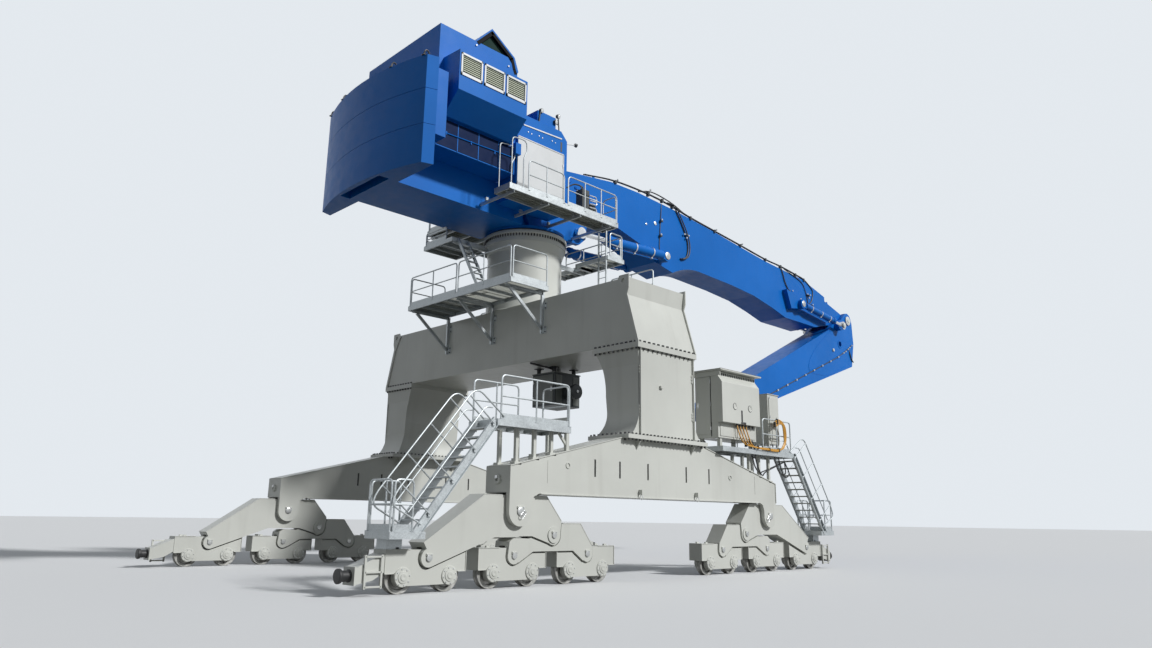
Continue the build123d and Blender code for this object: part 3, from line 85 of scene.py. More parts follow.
class Socket:
    """A socket of a shader graph, with arithmetic that adds Math nodes."""

    def __init__(self, graph: "Graph", plug: bpy.types.NodeSocket) -> None:
        """Wrap one output socket of a graph."""
        self.graph = graph
        self.plug = plug

    def math(self, operation: str, *values: "float | Socket") -> "Socket":
        """Add one Math node over these values."""
        return self.graph.add("Math", {"operation": operation}, dict(enumerate(values)))

    def __add__(self, other: "float | Socket") -> "Socket":
        """Sum."""
        return self.math("ADD", self, other)

    def __rsub__(self, other: float) -> "Socket":
        """Difference from a number."""
        return self.math("SUBTRACT", other, self)

    def __mul__(self, other: "float | Socket") -> "Socket":
        """Product."""
        return self.math("MULTIPLY", self, other)

    def larger(self, other: "Socket") -> "Socket":
        """The larger of two values."""
        return self.math("MAXIMUM", self, other)

    def clamped(self) -> "Socket":
        """This value held between 0 and 1."""
        return self.graph.add("Clamp", {}, {0: self})

    def span(self, low: float, high: float) -> "Socket":
        """0 at low, 1 at high, straight between, and held outside."""
        return self.graph.add("MapRange", {"clamp": True}, {0: self, 1: low, 2: high, 3: 0.0, 4: 1.0})

    __radd__ = __add__
    __rmul__ = __mul__


class Graph:
    """The node tree of one material or world."""

    def __init__(self, owner: "bpy.types.Material | bpy.types.World") -> None:
        """Empty the owner's tree."""
        owner.use_nodes = True
        self.owner = owner
        self.tree = owner.node_tree
        self.tree.nodes.clear()

    def add(self, kind: str, settings: dict, inputs: dict, out: "int | str" = 0) -> "Socket | None":
        """Add a node.

        Args:
            kind: the node's type without its prefix.
            settings: its properties, set first.
            inputs: socket name or number to a value or a link.
            out: the output that is wanted.

        Returns:
            The wanted output socket, or None where the node has no outputs.
        """
        node = self.tree.nodes.new("ShaderNode" + kind)
        for key, value in settings.items():
            setattr(node, key, value)
        for key, value in inputs.items():
            if isinstance(value, Socket):
                self.tree.links.new(value.plug, node.inputs[key])
            else:
                node.inputs[key].default_value = value
        return Socket(self, node.outputs[out]) if node.outputs else None

    def place(self, scale: Point = (1.0, 1.0, 1.0)) -> Socket:
        """Object coordinates, stretched by a scale along each axis."""
        here = self.add("TexCoord", {}, {}, "Object")
        return self.add("Mapping", {}, {"Vector": here, "Scale": scale})

    def height(self) -> Socket:
        """The object coordinate Z."""
        here = self.add("TexCoord", {}, {}, "Object")
        return self.add("SeparateXYZ", {}, {0: here}, "Z")

    def noise(self, scale: float, detail: float = 3.0, stretch: Point = (1.0, 1.0, 1.0)) -> Socket:
        """Smooth noise between 0 and 1."""
        return self.add("TexNoise", {}, {"Vector": self.place(stretch), "Scale": scale, "Detail": detail}, "Fac")

    def wave(self, scale: float) -> Socket:
        """Even bands between 0 and 1."""
        return self.add("TexWave", {}, {"Vector": self.place(), "Scale": scale}, "Fac")

    def mix(self, share: "float | Socket", first: "Colour | Socket", second: "Colour | Socket") -> Socket:
        """A colour between two colours."""
        ends = [end if isinstance(end, Socket) else (*end, 1.0) for end in (first, second)]
        return self.add("Mix", {"data_type": "RGBA", "clamp_factor": True}, {0: share, 6: ends[0], 7: ends[1]}, 2)

    def bump(self, height: Socket, distance: float, strength: float, **under: Socket) -> Socket:
        """A normal turned by a height in metres times distance, over the normal that under may hold."""
        return self.add("Bump", {}, {"Height": height, "Distance": distance, "Strength": strength, **under})

    def finish(self, **inputs: "float | tuple | Socket") -> bpy.types.Material:
        """Close the material with a Principled shader.

        Args:
            inputs: the shader's sockets, with _ for a space.

        Returns:
            The material.
        """
        shader = self.add("BsdfPrincipled", {}, {key.replace("_", " "): value for key, value in inputs.items()})
        self.add("OutputMaterial", {}, {"Surface": shader})
        return self.owner


def tinted(colour: Colour, factor: float, lift: float = 0.0) -> Colour:
    """A colour made paler or deeper by a factor and a lift."""
    return tuple(min(1.0, c * factor + lift) for c in colour)


@dataclass(frozen=True)
class Coating:
    """What every finish has: its material's name and the record's material slot that it belongs to."""

    name: str
    slot: str

    def graph(self) -> Graph:
        """The empty graph of a new material."""
        return Graph(bpy.data.materials.new(self.name))


@dataclass(frozen=True)
class Paint(Coating):
    """Sprayed machine paint with faint clouding, run-down dirt and a slight orange peel."""

    colour: Colour
    roughness: float = 0.38
    dirt: float = 0.25
    dirt_colour: Colour = (0.16, 0.14, 0.11)
    low_z: float = -9.0
    coat: float = 0.15
    specular: float = 0.4

    def material(self) -> bpy.types.Material:
        """Build the material: streaks, a dirty foot above low_z and specks make up the soiling."""
        g = self.graph()
        cloud = g.noise(0.35, 4.0)
        streaks = g.noise(2.6, 3.0, (1.0, 1.0, 0.08)).span(0.56, 0.80) * self.dirt * 0.45
        near_ground = 1.0 - g.height().span(self.low_z, self.low_z + 1.6)
        soiling = streaks + near_ground * g.noise(1.4, 4.0).span(0.35, 0.8) * self.dirt * 0.55
        soiling = soiling + g.noise(38.0, 2.0).span(0.70, 0.80) * self.dirt * 0.10
        base = g.mix(cloud.span(0.3, 0.7), tinted(self.colour, 0.90), tinted(self.colour, 1.07, 0.004))
        rough = g.noise(3.0, 3.0).span(0.2, 0.8) * 0.16 + (self.roughness - 0.08) + soiling * 0.5
        peel = g.bump(g.noise(160.0, 1.0), 0.0006, 0.5)
        return g.finish(
            Base_Color=g.mix(soiling.clamped(), base, self.dirt_colour), Roughness=rough,
            Normal=g.bump(g.noise(0.9, 2.0), 0.012, 0.5, Normal=peel), Coat_Weight=self.coat, Coat_Roughness=0.22,
            Specular_IOR_Level=self.specular,
        )


@dataclass(frozen=True)
class Galvanised(Coating):
    """Hot-dip galvanised steel with its grey spangle."""

    colour: Colour = (0.46, 0.49, 0.50)
    roughness: float = 0.42
    metallic: float = 0.55

    def material(self) -> bpy.types.Material:
        """Build the material."""
        g = self.graph()
        cells = g.add("TexVoronoi", {"feature": "F1"}, {"Vector": g.place(), "Scale": 46.0}, "Color")
        spangle = g.add("SeparateColor", {}, {0: cells})
        stain = g.noise(2.2, 4.0)
        share = spangle * 0.55 + stain.span(0.3, 0.7) * 0.45
        return g.finish(
            Base_Color=g.mix(share, tinted(self.colour, 0.78), tinted(self.colour, 1.22)),
            Roughness=spangle * 0.14 + stain.span(0.3, 0.75) * 0.14 + (self.roughness - 0.1),
            Metallic=self.metallic, Normal=g.bump(stain, 0.002, 0.4),
        )


@dataclass(frozen=True)
class Steel(Coating):
    """Bare or lightly oiled steel, worn bright where its noise is high."""

    colour: Colour
    worn: Colour
    roughness: float
    metallic: float

    def material(self) -> bpy.types.Material:
        """Build the material."""
        g = self.graph()
        wear = g.noise(7.0, 5.0).span(0.42, 0.68)
        return g.finish(
            Base_Color=g.mix(wear, self.colour, self.worn), Metallic=self.metallic,
            Roughness=(1.0 - wear) * 0.25 + (self.roughness - 0.12), Normal=g.bump(g.noise(90.0, 2.0), 0.0008, 0.6),
        )


@dataclass(frozen=True)
class Rubber(Coating):
    """Matt black rubber or cable sheath with dust."""

    colour: Colour = (0.018, 0.018, 0.019)
    dust: Colour = (0.09, 0.085, 0.08)
    specular: float = 0.5

    def material(self) -> bpy.types.Material:
        """Build the material."""
        g = self.graph()
        dusty = g.noise(5.0, 4.0).span(0.5, 0.8) * 0.6
        return g.finish(
            Base_Color=g.mix(dusty, self.colour, self.dust), Roughness=dusty * 0.3 + 0.5,
            Normal=g.bump(g.noise(220.0, 1.0), 0.0005, 0.5), Specular_IOR_Level=self.specular,
        )


@dataclass(frozen=True)
class Glass(Coating):
    """Tinted cab glass."""

    colour: Colour = (0.05, 0.09, 0.10)

    def material(self) -> bpy.types.Material:
        """Build the material."""
        g = self.graph()
        smear = g.noise(6.0, 3.0).span(0.55, 0.8) * 0.12
        made = g.finish(Base_Color=(*self.colour, 1.0), Roughness=smear + 0.03, Alpha=0.42, Specular_IOR_Level=0.7)
        made.surface_render_method = "BLENDED"
        return made


@dataclass(frozen=True)
class Lamp(Coating):
    """A lamp's pale ribbed lens."""

    colour: Colour = (0.85, 0.86, 0.84)
    deep: Colour = (0.55, 0.57, 0.58)

    def material(self) -> bpy.types.Material:
        """Build the material."""
        g = self.graph()
        ribs = g.wave(60.0)
        tone = g.mix(ribs * 0.3, self.colour, self.deep)
        return g.finish(Base_Color=tone, Roughness=ribs * 0.1 + 0.08, Normal=g.bump(ribs, 0.002, 0.6))


@dataclass(frozen=True)
class Cloth(Coating):
    """Woven seat cloth."""

    colour: Colour = (0.03, 0.032, 0.038)
    pale: Colour = (0.09, 0.09, 0.10)

    def material(self) -> bpy.types.Material:
        """Build the material."""
        g = self.graph()
        weave = g.wave(160.0)
        tone = g.mix(weave * 0.6, self.colour, self.pale)
        return g.finish(Base_Color=tone, Roughness=0.85, Sheen_Weight=0.3, Normal=g.bump(weave, 0.001, 0.7))


class Finish(Enum):
    """Every finish on the machine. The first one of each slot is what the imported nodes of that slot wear."""

    WHITE = Paint("portal_paint", "portal_paint", (0.59, 0.60, 0.56), dirt=0.26, low_z=0.0)
    BLUE = Paint("machine_blue", "machine_blue", (0.001, 0.140, 0.53), 0.42, 0.08, (0.02, 0.07, 0.16), coat=0.05,
                 specular=0.12)
    # Near-black blue: painted shade for the shaded recess under the cooler box.
    PAINTED_SHADE_BAY = Paint("painted_shade_bay", "machine_blue", (0.0005, 0.012, 0.060), 0.6, 0.1, (0.01, 0.02, 0.04), coat=0.0,
                specular=0.1)
    PANEL = Paint("panel_white", "panel_white", (0.66, 0.675, 0.68), dirt=0.10)
    FRAME_WHITE = Paint("grille_white", "grille_white", (0.76, 0.77, 0.77), dirt=0.08)
    MESH_GREY = Paint("grille_louvres", "grille_white", (0.50, 0.53, 0.42), 0.55, 0.3)
    CABINET = Paint("cabinet_paint", "cabinet_paint", (0.59, 0.60, 0.56), dirt=0.20, low_z=3.0)
    CABINET_DARK = Paint("cabinet_dark", "cabinet_dark", (0.035, 0.042, 0.045), 0.5, 0.2)
    CABINET_GREY = Paint("cabinet_grey", "cabinet_dark", (0.150, 0.160, 0.150), 0.5, 0.2)
    ZINC = Galvanised("galvanised", "galvanised")
    ZINC_DARK = Galvanised("galvanised_grating", "galvanised", (0.30, 0.31, 0.28), 0.55, 0.4)
    ORANGE = Paint("orange_cable", "galvanised", (0.62, 0.31, 0.035), 0.5, 0.2)
    PIN = Steel("pin_steel", "pin_steel", (0.42, 0.43, 0.42), (0.62, 0.62, 0.61), 0.35, 0.85)
    PIN_PALE = Paint("pin_cap_paint", "pin_steel", (0.60, 0.62, 0.60), 0.45, 0.15)
    BOLT = Steel("bolt_steel", "pin_steel", (0.035, 0.036, 0.038), (0.12, 0.12, 0.12), 0.5, 0.5)
    BRIGHT = Steel("bright_fitting", "pin_steel", (0.55, 0.56, 0.56), (0.8, 0.8, 0.79), 0.3, 0.9)
    WHEEL = Steel("wheel_steel", "wheel_steel", (0.30, 0.30, 0.28), (0.52, 0.51, 0.49), 0.5, 0.35)
    RING = Steel("ring_steel", "ring_steel", (0.03, 0.03, 0.033), (0.09, 0.09, 0.09), 0.55, 0.4)
    # Near-black plate colour: painted shade for the dark insides of the hood and behind the cooler grilles.
    PAINTED_SHADE_PLATE = Paint("hood_painted_shade", "ring_steel", (0.008, 0.030, 0.024), 0.7, 0.1, (0.01, 0.02, 0.02), coat=0.0,
                   specular=0.1)
    CHROME = Steel("rod_chrome", "rod_chrome", (0.66, 0.67, 0.68), (0.8, 0.8, 0.81), 0.17, 1.0)
    RUBBER = Rubber("black_rubber", "buffer_rubber")
    SEAL = Rubber("hood_seal", "buffer_rubber", (0.004, 0.004, 0.005), (0.012, 0.012, 0.013), 0.05)
    GLASS = Glass("cab_glass", "cab_glass")
    LENS = Lamp("lamp_lens", "panel_white")
    CLOTH = Cloth("seat_cloth", "seat_fabric")


@lru_cache(maxsize=None)
def material_of(finish: Finish) -> bpy.types.Material:
    """The material of a finish, built once."""
    return finish.value.material()


def unit(vector: Point) -> np.ndarray:
    """This direction at length 1."""
    return np.asarray(vector, float) / np.linalg.norm(vector)


def beside(way: np.ndarray) -> np.ndarray:
    """A direction at right angles to a line, level unless the line is upright."""
    return unit(np.cross(way, Z if abs(way[2]) < 0.9 else X))


def arc(centre: Point, u: Point, v: Point, number: int, start: float = 0.0, sweep: float = TURN) -> np.ndarray:
    """Points centre + u cos(a) + v sin(a), with the angle a from start over a sweep, both ends included."""
    a = np.linspace(start, start + sweep, number)[:, None]
    return np.asarray(centre, float) + np.cos(a) * u + np.sin(a) * v


def rounded(points: Sequence[Point], radius: float, steps: int = 5) -> np.ndarray:
    """A line of points with its inner corners rounded.

    Each corner becomes the quadratic curve (1-t)^2 a + 2t(1-t) c + t^2 b, where c is the corner
    and a and b lie on its two runs, one radius away.

    Args:
        points: the corners and the two ends.
        radius: how far from a corner its curve starts.
        steps: points on each curve.

    Returns:
        The finer line.
    """
    p = np.array(points, float)
    out = [p[0]]
    t = np.linspace(0, 1, steps)[:, None]
    for before, corner, after in zip(p, p[1:], p[2:]):
        runs = (before - corner, after - corner)
        a, b = (corner + unit(run) * min(radius, np.linalg.norm(run) * 0.49) for run in runs)
        out.extend((1 - t) ** 2 * a + 2 * t * (1 - t) * corner + t**2 * b)
    return np.array([*out, p[-1]])


def eased(points: Sequence[Point], steps: int = 8) -> np.ndarray:
    """A smooth line through points: Catmull-Rom pieces, each a cubic of its four nearest points."""
    p = np.array(points, float)
    q = np.vstack((2 * p[0] - p[1], p, 2 * p[-1] - p[-2]))
    t = np.linspace(0, 1, steps, endpoint=False)[:, None]
    runs = [
        0.5 * (2 * b + (c - a) * t + (2 * a - 5 * b + 4 * c - d) * t**2 + (3 * b - a - 3 * c + d) * t**3)
        for a, b, c, d in zip(q, q[1:], q[2:], q[3:])
    ]
    return np.vstack((*runs, p[-1:]))


def shown(name: str, data: bpy.types.ID) -> bpy.types.Object:
    """A new object in the scene."""
    obj = bpy.data.objects.new(name, data)
    bpy.context.scene.collection.objects.link(obj)
    return obj


def turn_out(data: bpy.types.Mesh, merge: float = 0.0) -> None:
    """Turn every face of a mesh outwards, once points nearer than merge are joined."""
    work = bmesh.new()
    work.from_mesh(data)
    if merge:
        bmesh.ops.remove_doubles(work, verts=work.verts, dist=merge)
    bmesh.ops.recalc_face_normals(work, faces=work.faces)
    work.to_mesh(data)
    work.free()


@dataclass
class Mesh:
    """One piece, whose vertices and faces grow by whole arrays.

    The fields that an assembly sets are the piece's name and finish, the body that it rides on, whether it
    is shaded flat, the width of the bevel over its sharp edges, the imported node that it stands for, and a
    material slot where it isn't its finish's own.
    """

    name: str
    finish: Finish
    body: str = Body.PORTAL
    flat: bool = False
    bevel: float = 0.0
    stands_for: str = ""
    slot: str = ""
    points: list[np.ndarray] = field(default_factory=list)
    faces: list[tuple[int, ...]] = field(default_factory=list)
    count: int = 0

    def put(self, points: Sequence[Point], faces: Sequence[Sequence[int]]) -> None:
        """Add points of shape (n, 3) and faces that count from 0."""
        self.points.append(np.asarray(points, float))
        self.faces += [tuple(int(i) + self.count for i in face) for face in faces]
        self.count += len(points)

    def grid(self, surface: np.ndarray, loop_u: bool = False, loop_v: bool = False, caps: bool = False) -> None:
        """Add a surface given on a grid of shape (u, v, 3).

        Args:
            surface: the points.
            loop_u: whether the last row joins the first.
            loop_v: whether the last column joins the first.
            caps: whether the two end rows are closed by one face each.
        """
        rows, cols = surface.shape[:2]
        index = np.arange(rows * cols).reshape(rows, cols)
        if loop_u:
            index = np.vstack((index, index[:1]))
        if loop_v:
            index = np.hstack((index, index[:, :1]))
        quads = np.stack((index[:-1, :-1], index[:-1, 1:], index[1:, 1:], index[1:, :-1]), -1).reshape(-1, 4)
        ends = [range(cols)[::-1], range((rows - 1) * cols, rows * cols)] if caps else []
        self.put(surface.reshape(-1, 3), [*quads, *ends])

    def box(self, low: Point, high: Point) -> None:
        """Add a box between two opposite corners."""
        a, b = np.minimum(low, high), np.maximum(low, high)
        self.put([(x, y, z) for x in (a[0], b[0]) for y in (a[1], b[1]) for z in (a[2], b[2])], BOX_FACES)

    def boxes(self, rows: Sequence[Point]) -> None:
        """Add a box for each row: x, y and z of one corner, then of the opposite one."""
        for row in rows:
            self.box(row[:3], row[3:])

    def block(self, centre: Point, *half: float) -> None:
        """Add a box round a centre, with half its size along each axis."""
        self.box(np.subtract(centre, half), np.add(centre, half))

    def beam(self, start: Point, end: Point, wide: float, deep: float, side: Point = Y) -> None:
        """Add a bar of rectangular section whose width lies near side."""
        a, b = np.array(start, float), np.array(end, float)
        way = unit(b - a)
        across = unit(np.subtract(side, way * np.dot(side, way)))
        half, up = across * wide / 2, np.cross(way, across) * deep / 2
        self.put([p + i * half + j * up for p in (a, b) for i, j in CORNERS], BOX_FACES)

    def tube(self, path: Sequence[Point], radius: float, sides: int = 8) -> None:
        """Add a round tube along a path: a circle is carried along the points, with caps at both ends."""
        p = np.array(path, float)
        step = np.diff(p, axis=0)
        step /= np.linalg.norm(step, axis=1)[:, None]
        tangent = np.vstack((step[:1], step[:-1] + step[1:], step[-1:]))
        tangent /= np.linalg.norm(tangent, axis=1)[:, None]
        normals = [beside(tangent[0])]
        for t in tangent:
            normals.append(unit(normals[-1] - t * np.dot(normals[-1], t)))
        n = np.array(normals[1:])
        a = np.linspace(0, TURN, sides, endpoint=False)[None, :, None]
        ring = np.cos(a) * n[:, None, :] + np.sin(a) * np.cross(tangent, n)[:, None, :]
        self.grid(p[:, None, :] + ring * radius, loop_v=True, caps=True)

    def lathe(self, centre: Point, axis: Point, profile: Sequence[Point], sides: int = 32, ring: bool = False) -> None:
        """Add a turned body.

        Args:
            centre: a point on the axis.
            axis: the direction of the axis.
            profile: pairs of radius and height along the axis, from one end to the other.
            sides: how many facets go round.
            ring: whether the profile closes on itself and leaves its middle open.
        """
        way = unit(axis)
        first = beside(way)
        a = np.linspace(0, TURN, sides, endpoint=False)[:, None]
        turn = np.cos(a) * first + np.sin(a) * np.cross(way, first)
        radius, height = np.array(profile, float).T[..., None, None]
        self.grid(np.array(centre, float) + turn * radius + way * height, ring, True, not ring)

    def bolts(self, places: Sequence[Point], axis: Point, radius: float, height: float, sides: int = 6) -> None:
        """Add hexagon bolt heads that stand on a surface along an axis."""
        for place in places:
            self.lathe(place, axis, ((radius, -0.002), (radius, height * 0.85), (radius * 0.82, height)), sides)

    def plate(self, outline: Sequence[Point], origin: Point, u: Point, v: Point, thick: float) -> None:
        """Add a flat plate.

        Args:
            outline: its corners in the plane of u and v, anticlockwise seen against their cross product.
            origin: where 0, 0 lies; the plate grows from there along the cross product of u and v.
            u: the plane's first direction.
            v: the plane's second direction.
            thick: the plate's thickness.
        """
        flat = np.array([origin + a * u + b * v for a, b in outline])
        n = len(flat)
        walls = [(i, (i + 1) % n, (i + 1) % n + n, i + n) for i in range(n)]
        self.put(np.vstack((flat, flat + np.cross(u, v) * thick)), [range(n)[::-1], range(n, 2 * n), *walls])

    def seam(self, outline: Sequence[Point], radius: float) -> None:
        """Add a round seal that runs along a closed outline with eased corners."""
        start = (np.array(outline[0]) + outline[-1]) / 2
        self.tube(rounded((start, *outline, start), 0.08), radius)

    def grating(
        self, x0: float, x1: float, y0: float, y1: float, z: float, pitch: float = 0.055, deep: float = 0.035
    ) -> None:
        """Add a grating panel: flat bars along its shorter side, thin rods across them, and a rim.

        Args:
            x0: its lowest x.
            x1: its highest x.
            y0: its lowest y.
            y1: its highest y.
            z: the height of its top.
            pitch: distance between the flat bars.
            deep: the bars' height.
        """
        across = 1 if x1 - x0 < y1 - y0 else 0
        for axis, first, step, half, low, high in (
            (across, pitch / 2, pitch, 0.0035, deep, 0.0), (1 - across, 0.06, 0.12, 0.005, 0.010, 0.002),
        ):
            for at in np.arange((x0, y0)[axis] + first, (x1, y1)[axis], step):
                a, b = [x0, y0, z - low], [x1, y1, z - high]
                a[axis], b[axis] = at - half, at + half
                self.box(a, b)
        corners = ((x0, y0), (x1, y0), (x1, y1), (x0, y1))
        for a, b in zip(corners, corners[1:] + corners[:1]):
            self.beam((*a, z - deep / 2), (*b, z - deep / 2), 0.006, deep, (b[1] - a[1], a[0] - b[0], 0))

    def channel(
        self, start: Point, end: Point, deep: float, wide: float, open_to: Point, thick: float = 0.009
    ) -> None:
        """Add a rolled channel along a line: a web with two flanges that point towards open_to."""
        a, b = np.array(start, float), np.array(end, float)
        way = unit(b - a)
        out = unit(np.subtract(open_to, way * np.dot(open_to, way)))
        up = np.cross(way, out)
        self.beam(a, b, thick, deep, out)
        for side in SIDES:
            shift = up * (side * (deep - thick) / 2) + out * wide / 2
            self.beam(a + shift, b + shift, wide, thick, out)

    def rim(self, x0: float, x1: float, y0: float, y1: float, z: float, deep: float, wide: float) -> None:
        """Add four channels round a floor, open inwards, with their middles at height z."""
        for y, way in ((y0, Y), (y1, -Y)):
            self.channel((x0, y, z), (x1, y, z), deep, wide, way)
        for x, way in ((x0, X), (x1, -X)):
            self.channel((x, y0, z), (x, y1, z), deep, wide, way)

    def hinge(self, place: Point, half: float = 0.06, radius: float = 0.014) -> None:
        """Add an upright hinge barrel round a place."""
        self.tube((place - Z * half, place + Z * half), radius)

    def make(self) -> bpy.types.Object:
        """Make the Blender object, with every face turned outwards.

        Returns:
            The object, riding on its body and standing for its node.
        """
        data = bpy.data.meshes.new(self.name)
        data.from_pydata(np.vstack(self.points).tolist(), [], self.faces)
        data.validate()
        turn_out(data)
        data.update()
        obj = shown(self.name, data)
        data.materials.append(material_of(self.finish))
        if self.bevel:
            modifier = obj.modifiers.new("edges", "BEVEL")
            modifier.width = self.bevel
            modifier.segments = 2
            modifier.limit_method = "ANGLE"
        if not self.flat:
            data.shade_smooth()
            data.set_sharp_from_angle(angle=math.radians(35))
        rides = getattr(self.body, "value", self.body)
        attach(obj, rides)
        if self.stands_for:
            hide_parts(self.stands_for)
        LOG.info("%s: %d faces on %s", self.name, len(self.faces), rides)
        return obj


@dataclass
class Assembly:
    """A sub-assembly, whose pieces ride on its body where they name no other."""

    body: Body = Body.PORTAL
    pieces: list[Mesh] = field(default_factory=list)

    def piece(self, name: str, finish: Finish, **look: "bool | float | str") -> Mesh:
        """Start a piece, where look holds the other fields of Mesh that it sets."""
        self.pieces.append(Mesh(name, finish, **{"body": self.body, **look}))
        return self.pieces[-1]

    def build(self) -> None:
        """Shape the pieces: each sub-assembly has its own way."""
        raise NotImplementedError

    def make(self) -> None:
        """Shape every piece and make its object."""
        self.build()
        for mesh in self.pieces:
            mesh.make()


@dataclass
class Stage:
    """Camera, light and floor."""

    place: Point = (-19.423, -22.399, 1.654)
    right: Point = (0.7083, -0.7059, 0.0125)
    up: Point = (-0.1720, -0.1555, 0.9728)
    lens: float = 25.64
    sensor: float = 36.0
    far: float = 1000.0
    sun_from: Point = (0.30, -0.80, 0.60)
    sun: float = 3.1
    sun_angle: float = 6.0
    sky: float = 0.25
    sky_seen: float = 0.86
    sky_colour: Colour = (0.90, 0.95, 1.0)
    floor_half: float = 400.0
    floor_seen: Colour = (0.72, 0.73, 0.74)
    floor_bounced: Colour = (0.13, 0.13, 0.12)

    def camera(self) -> None:
        """Place the camera as the photograph was taken."""
        x = Vector(self.right).normalized()
        z = x.cross(Vector(self.up)).normalized()
        data = bpy.data.cameras.new("photo_camera")
        data.lens = self.lens
        data.sensor_width = self.sensor
        data.clip_end = self.far
        camera = shown("photo_camera", data)
        camera.matrix_world = Matrix.Translation(self.place) @ Matrix((x, z.cross(x), z)).transposed().to_4x4()
        bpy.context.scene.camera = camera

    def light(self) -> None:
        """One soft sun and an even sky, which is paler to the eye and in glass and metal than on the object."""
        sun = bpy.data.lights.new("soft_sun", "SUN")
        sun.energy = self.sun
        sun.angle = math.radians(self.sun_angle)
        lamp = shown("soft_sun", sun)
        lamp.rotation_mode = "QUATERNION"
        lamp.rotation_quaternion = Vector(self.sun_from).to_track_quat("Z", "Y")
        bpy.context.scene.world = bpy.data.worlds.new("pale_sky")
        g = Graph(bpy.context.scene.world)
        eye, through, mirrored = (
            g.add("LightPath", {}, {}, f"Is {ray} Ray") for ray in ("Camera", "Transmission", "Glossy")
        )
        seen = eye.larger(through).larger(mirrored)
        strength = g.add("MapRange", {}, {"Value": seen, "To Min": self.sky, "To Max": self.sky_seen})
        back = g.add("Background", {}, {"Color": (*self.sky_colour, 1.0), "Strength": strength})
        g.add("OutputWorld", {}, {"Surface": back})
        bpy.context.scene.view_settings.view_transform = "Standard"

    def floor(self) -> None:
        """A wide pale floor under the wheels, darker for bounced light than for the eye."""
        data = bpy.data.meshes.new("floor")
        half = self.floor_half
        data.from_pydata([(-half, -half, 0), (half, -half, 0), (half, half, 0), (-half, half, 0)], [], [(0, 1, 2, 3)])
        g = Graph(bpy.data.materials.new("pale_floor"))
        bounced = g.add("LightPath", {}, {}, "Is Diffuse Ray")
        tone = g.mix(bounced, self.floor_seen, self.floor_bounced)
        data.materials.append(g.finish(Base_Color=tone, Roughness=0.9))
        shown("floor", data)

    def make(self) -> None:
        """Set the whole stage."""
        self.camera()
        self.light()
        self.floor()


@dataclass
class RailWheels(Assembly):
    """Double-flanged rail wheels with a dished web and a hub."""

    half_profile: Rows = (
        (0.086, 0.085), (0.125, 0.085), (0.135, 0.035), (0.262, 0.030), (0.285, 0.082), (0.362, 0.09),
        (0.370, 0.083), (0.370, 0.066), (0.347, 0.056), (0.338, 0.048),
    )

    def build(self) -> None:
        """Turn one wheel for each imported one, on its own body."""
        profile = [(radius, -high) for radius, high in self.half_profile] + list(self.half_profile[::-1])
        for name in sorted(n for n in frame["nodes"] if n.startswith("wheel_")):
            low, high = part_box(name)
            centre = np.array((low + high) / 2)
            mesh = self.piece(f"{name}_tyre", Finish.WHEEL, body=name, stands_for=name)
            mesh.lathe(centre, Y, profile, 56)
            for side in SIDES:
                mesh.bolts(arc(centre + Y * side * 0.033, X * 0.2, Z * 0.2, 7)[:-1], Y * side, 0.022, 0.012, 12)


